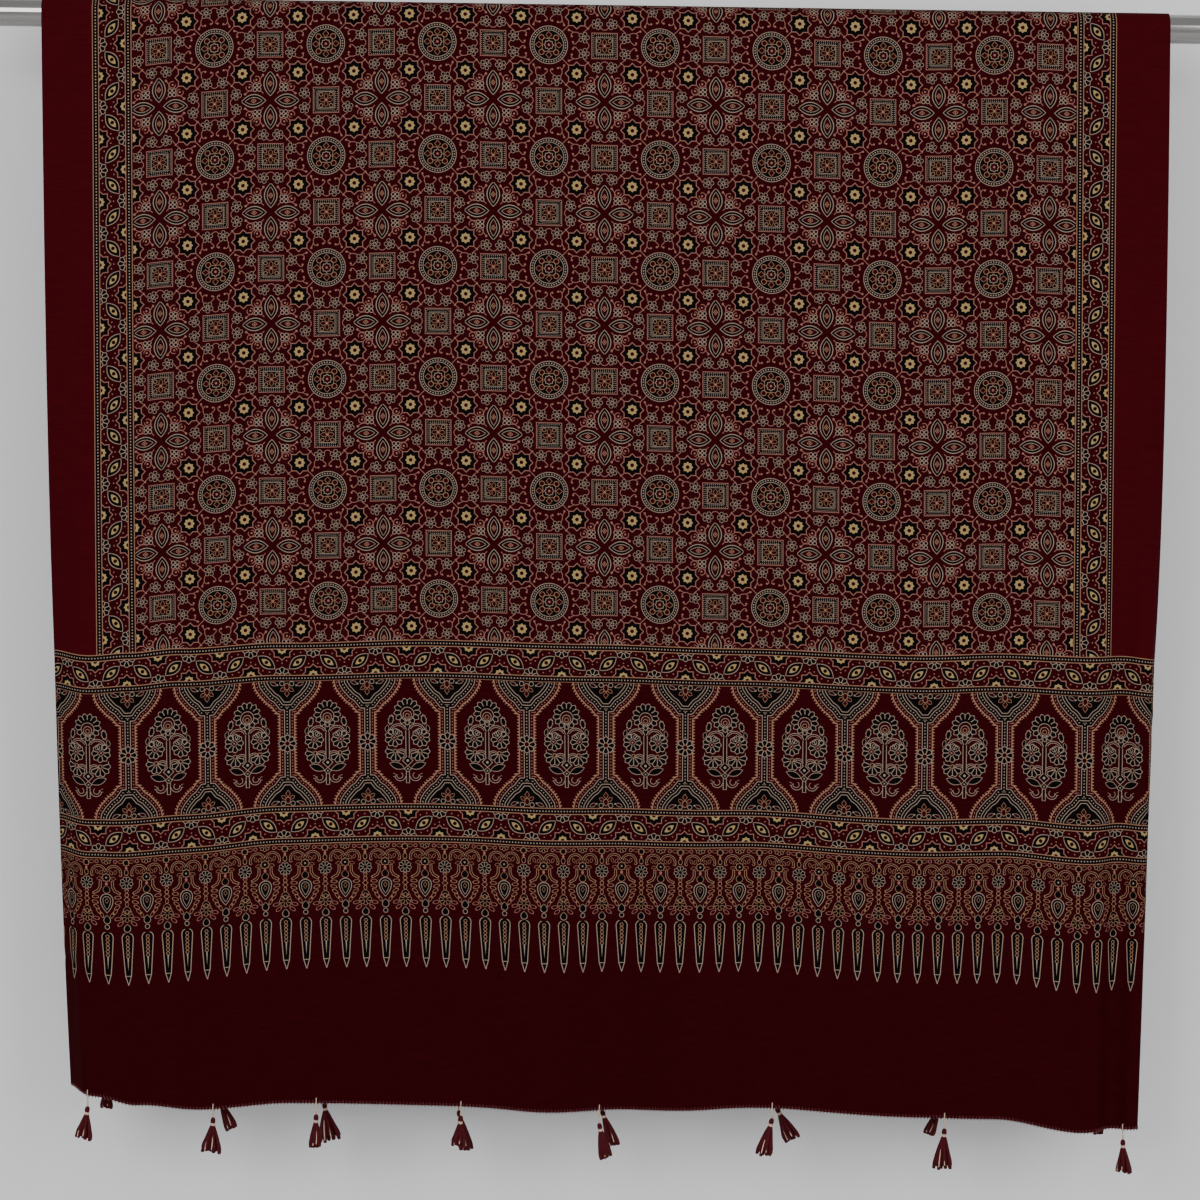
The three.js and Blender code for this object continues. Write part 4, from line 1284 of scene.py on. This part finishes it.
# How far out and down the bundle's outside is at its top, shoulder, neck and below.
BUNDLE = [(0.35, 0.2), (1.4, 1.6), (1.7, 3.6), (1.1, 6.0), (1.25, 7.4)]
OUTER_LOCKS = 10
INNER_LOCKS = 5
tassel_yarn = yarn_material("tassel_yarn", ink("#300307"), ink("#4D0B14"), 0.7, (1500, 1500, 110))
sewing_cotton = yarn_material("sewing_cotton", ink("#AA937E"), ink("#CEB8A4"), 0.85, (1200, 1200, 400))


def lock_path(turn, out, long, spread, wave, radius):
    """One lock of yarn: through the bound head, then flaring down to its tip in a soft bend."""
    path = []
    for reach, down in BUNDLE:
        aside = reach * out
        path.append((Vector((math.cos(turn) * aside, math.sin(turn) * aside, -down)), radius * 0.62))
    for step in range(1, 7):
        part = step / 6
        aside = 1.25 * out + ((spread - 1.4) * out - 1.25 * out) * part ** 0.9
        sway = wave * math.sin(part * 2.6)
        place = Vector((math.cos(turn) * aside + sway, math.sin(turn) * aside * 0.55, -8 - (long - 8) * part))
        path.append((place, radius * (0.8 + 0.8 * part if step < 6 else 1.05)))
    return path


for half, tassels in TASSELS.items():
    for number, (across, thread_long, lean, long, spread) in enumerate(tassels, 1):
        end = 0 if half == "front" else 1
        here = hem_place(across, end, 0, 0)
        beside = hem_place(across + 2, end, 0, 0) - here
        turned = Matrix.Translation(here) @ Matrix.Rotation(math.atan2(beside.y, beside.x), 4, "Z")
        hung = Matrix.Translation((0, 0, -thread_long - 0.35)) @ Matrix.Rotation(-math.radians(lean), 4, "Y")

        locks = []
        for i in range(OUTER_LOCKS):
            turn = math.tau * (i + 0.3 * math.sin(across + i)) / OUTER_LOCKS
            length = long * (1 + 0.07 * math.sin(2.4 * i + across))
            locks.append(lock_path(turn, 1.0, length, spread / 2, 0.9 * math.sin(across + 1.7 * i), 1.5))
        for i in range(INNER_LOCKS):
            turn = math.tau * (i + 0.5) / INNER_LOCKS
            length = long * (1 + 0.06 * math.cos(1.9 * i + across))
            locks.append(lock_path(turn, 0.45, length, spread / 2, 0.7 * math.cos(across + i), 1.6))
        locks = [[(turned @ hung @ place, radius) for place, radius in lock] for lock in locks]
        tassel = spun(f"{half}_tassel_yarn_{number}", locks, 7, tassel_yarn)
        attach(tassel, "root")
        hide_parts(f"tassel_{half}_{number}")

        strings = []
        for side in (-1, 1):
            string = [(Vector((0.2, side * 0.1, 5.2)), 0.5), (Vector((0, side * 0.75, 4.4)), 0.5)]
            for step in range(9):
                part = step / 8
                twist = part * 5.0 + (0 if side > 0 else math.pi)
                wide = 0.7 - 0.25 * part
                down = 2.0 - (thread_long + 2.2) * part
                aside = math.sin(twist) * wide * min(part * 4, 1)
                string.append((Vector((aside, math.cos(twist) * wide, down)), 0.5))
            strings.append([(turned @ place, radius) for place, radius in string])
        binding = []
        for step in range(37):
            turn = math.tau * step / 12
            place = Vector((math.cos(turn) * 1.95, math.sin(turn) * 1.95, -5.2 - 0.85 * step / 12))
            binding.append((turned @ hung @ place, 0.5))
        strings.append(binding)
        for i, turn in enumerate((-1.9, -1.45, 1.6)):
            wave = 1.2 * math.sin(across + 2 * i)
            tail = lock_path(turn, 1.18, long * (0.98 - 0.05 * i), spread / 2 + 1.2, wave, 0.38)
            strings.append([(turned @ hung @ place, radius) for place, radius in tail[3:]])
        cotton = spun(f"{half}_sewing_cotton_{number}", strings, 6, sewing_cotton)
        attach(cotton, "root")
        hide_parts(f"thread_{half}_{number}")
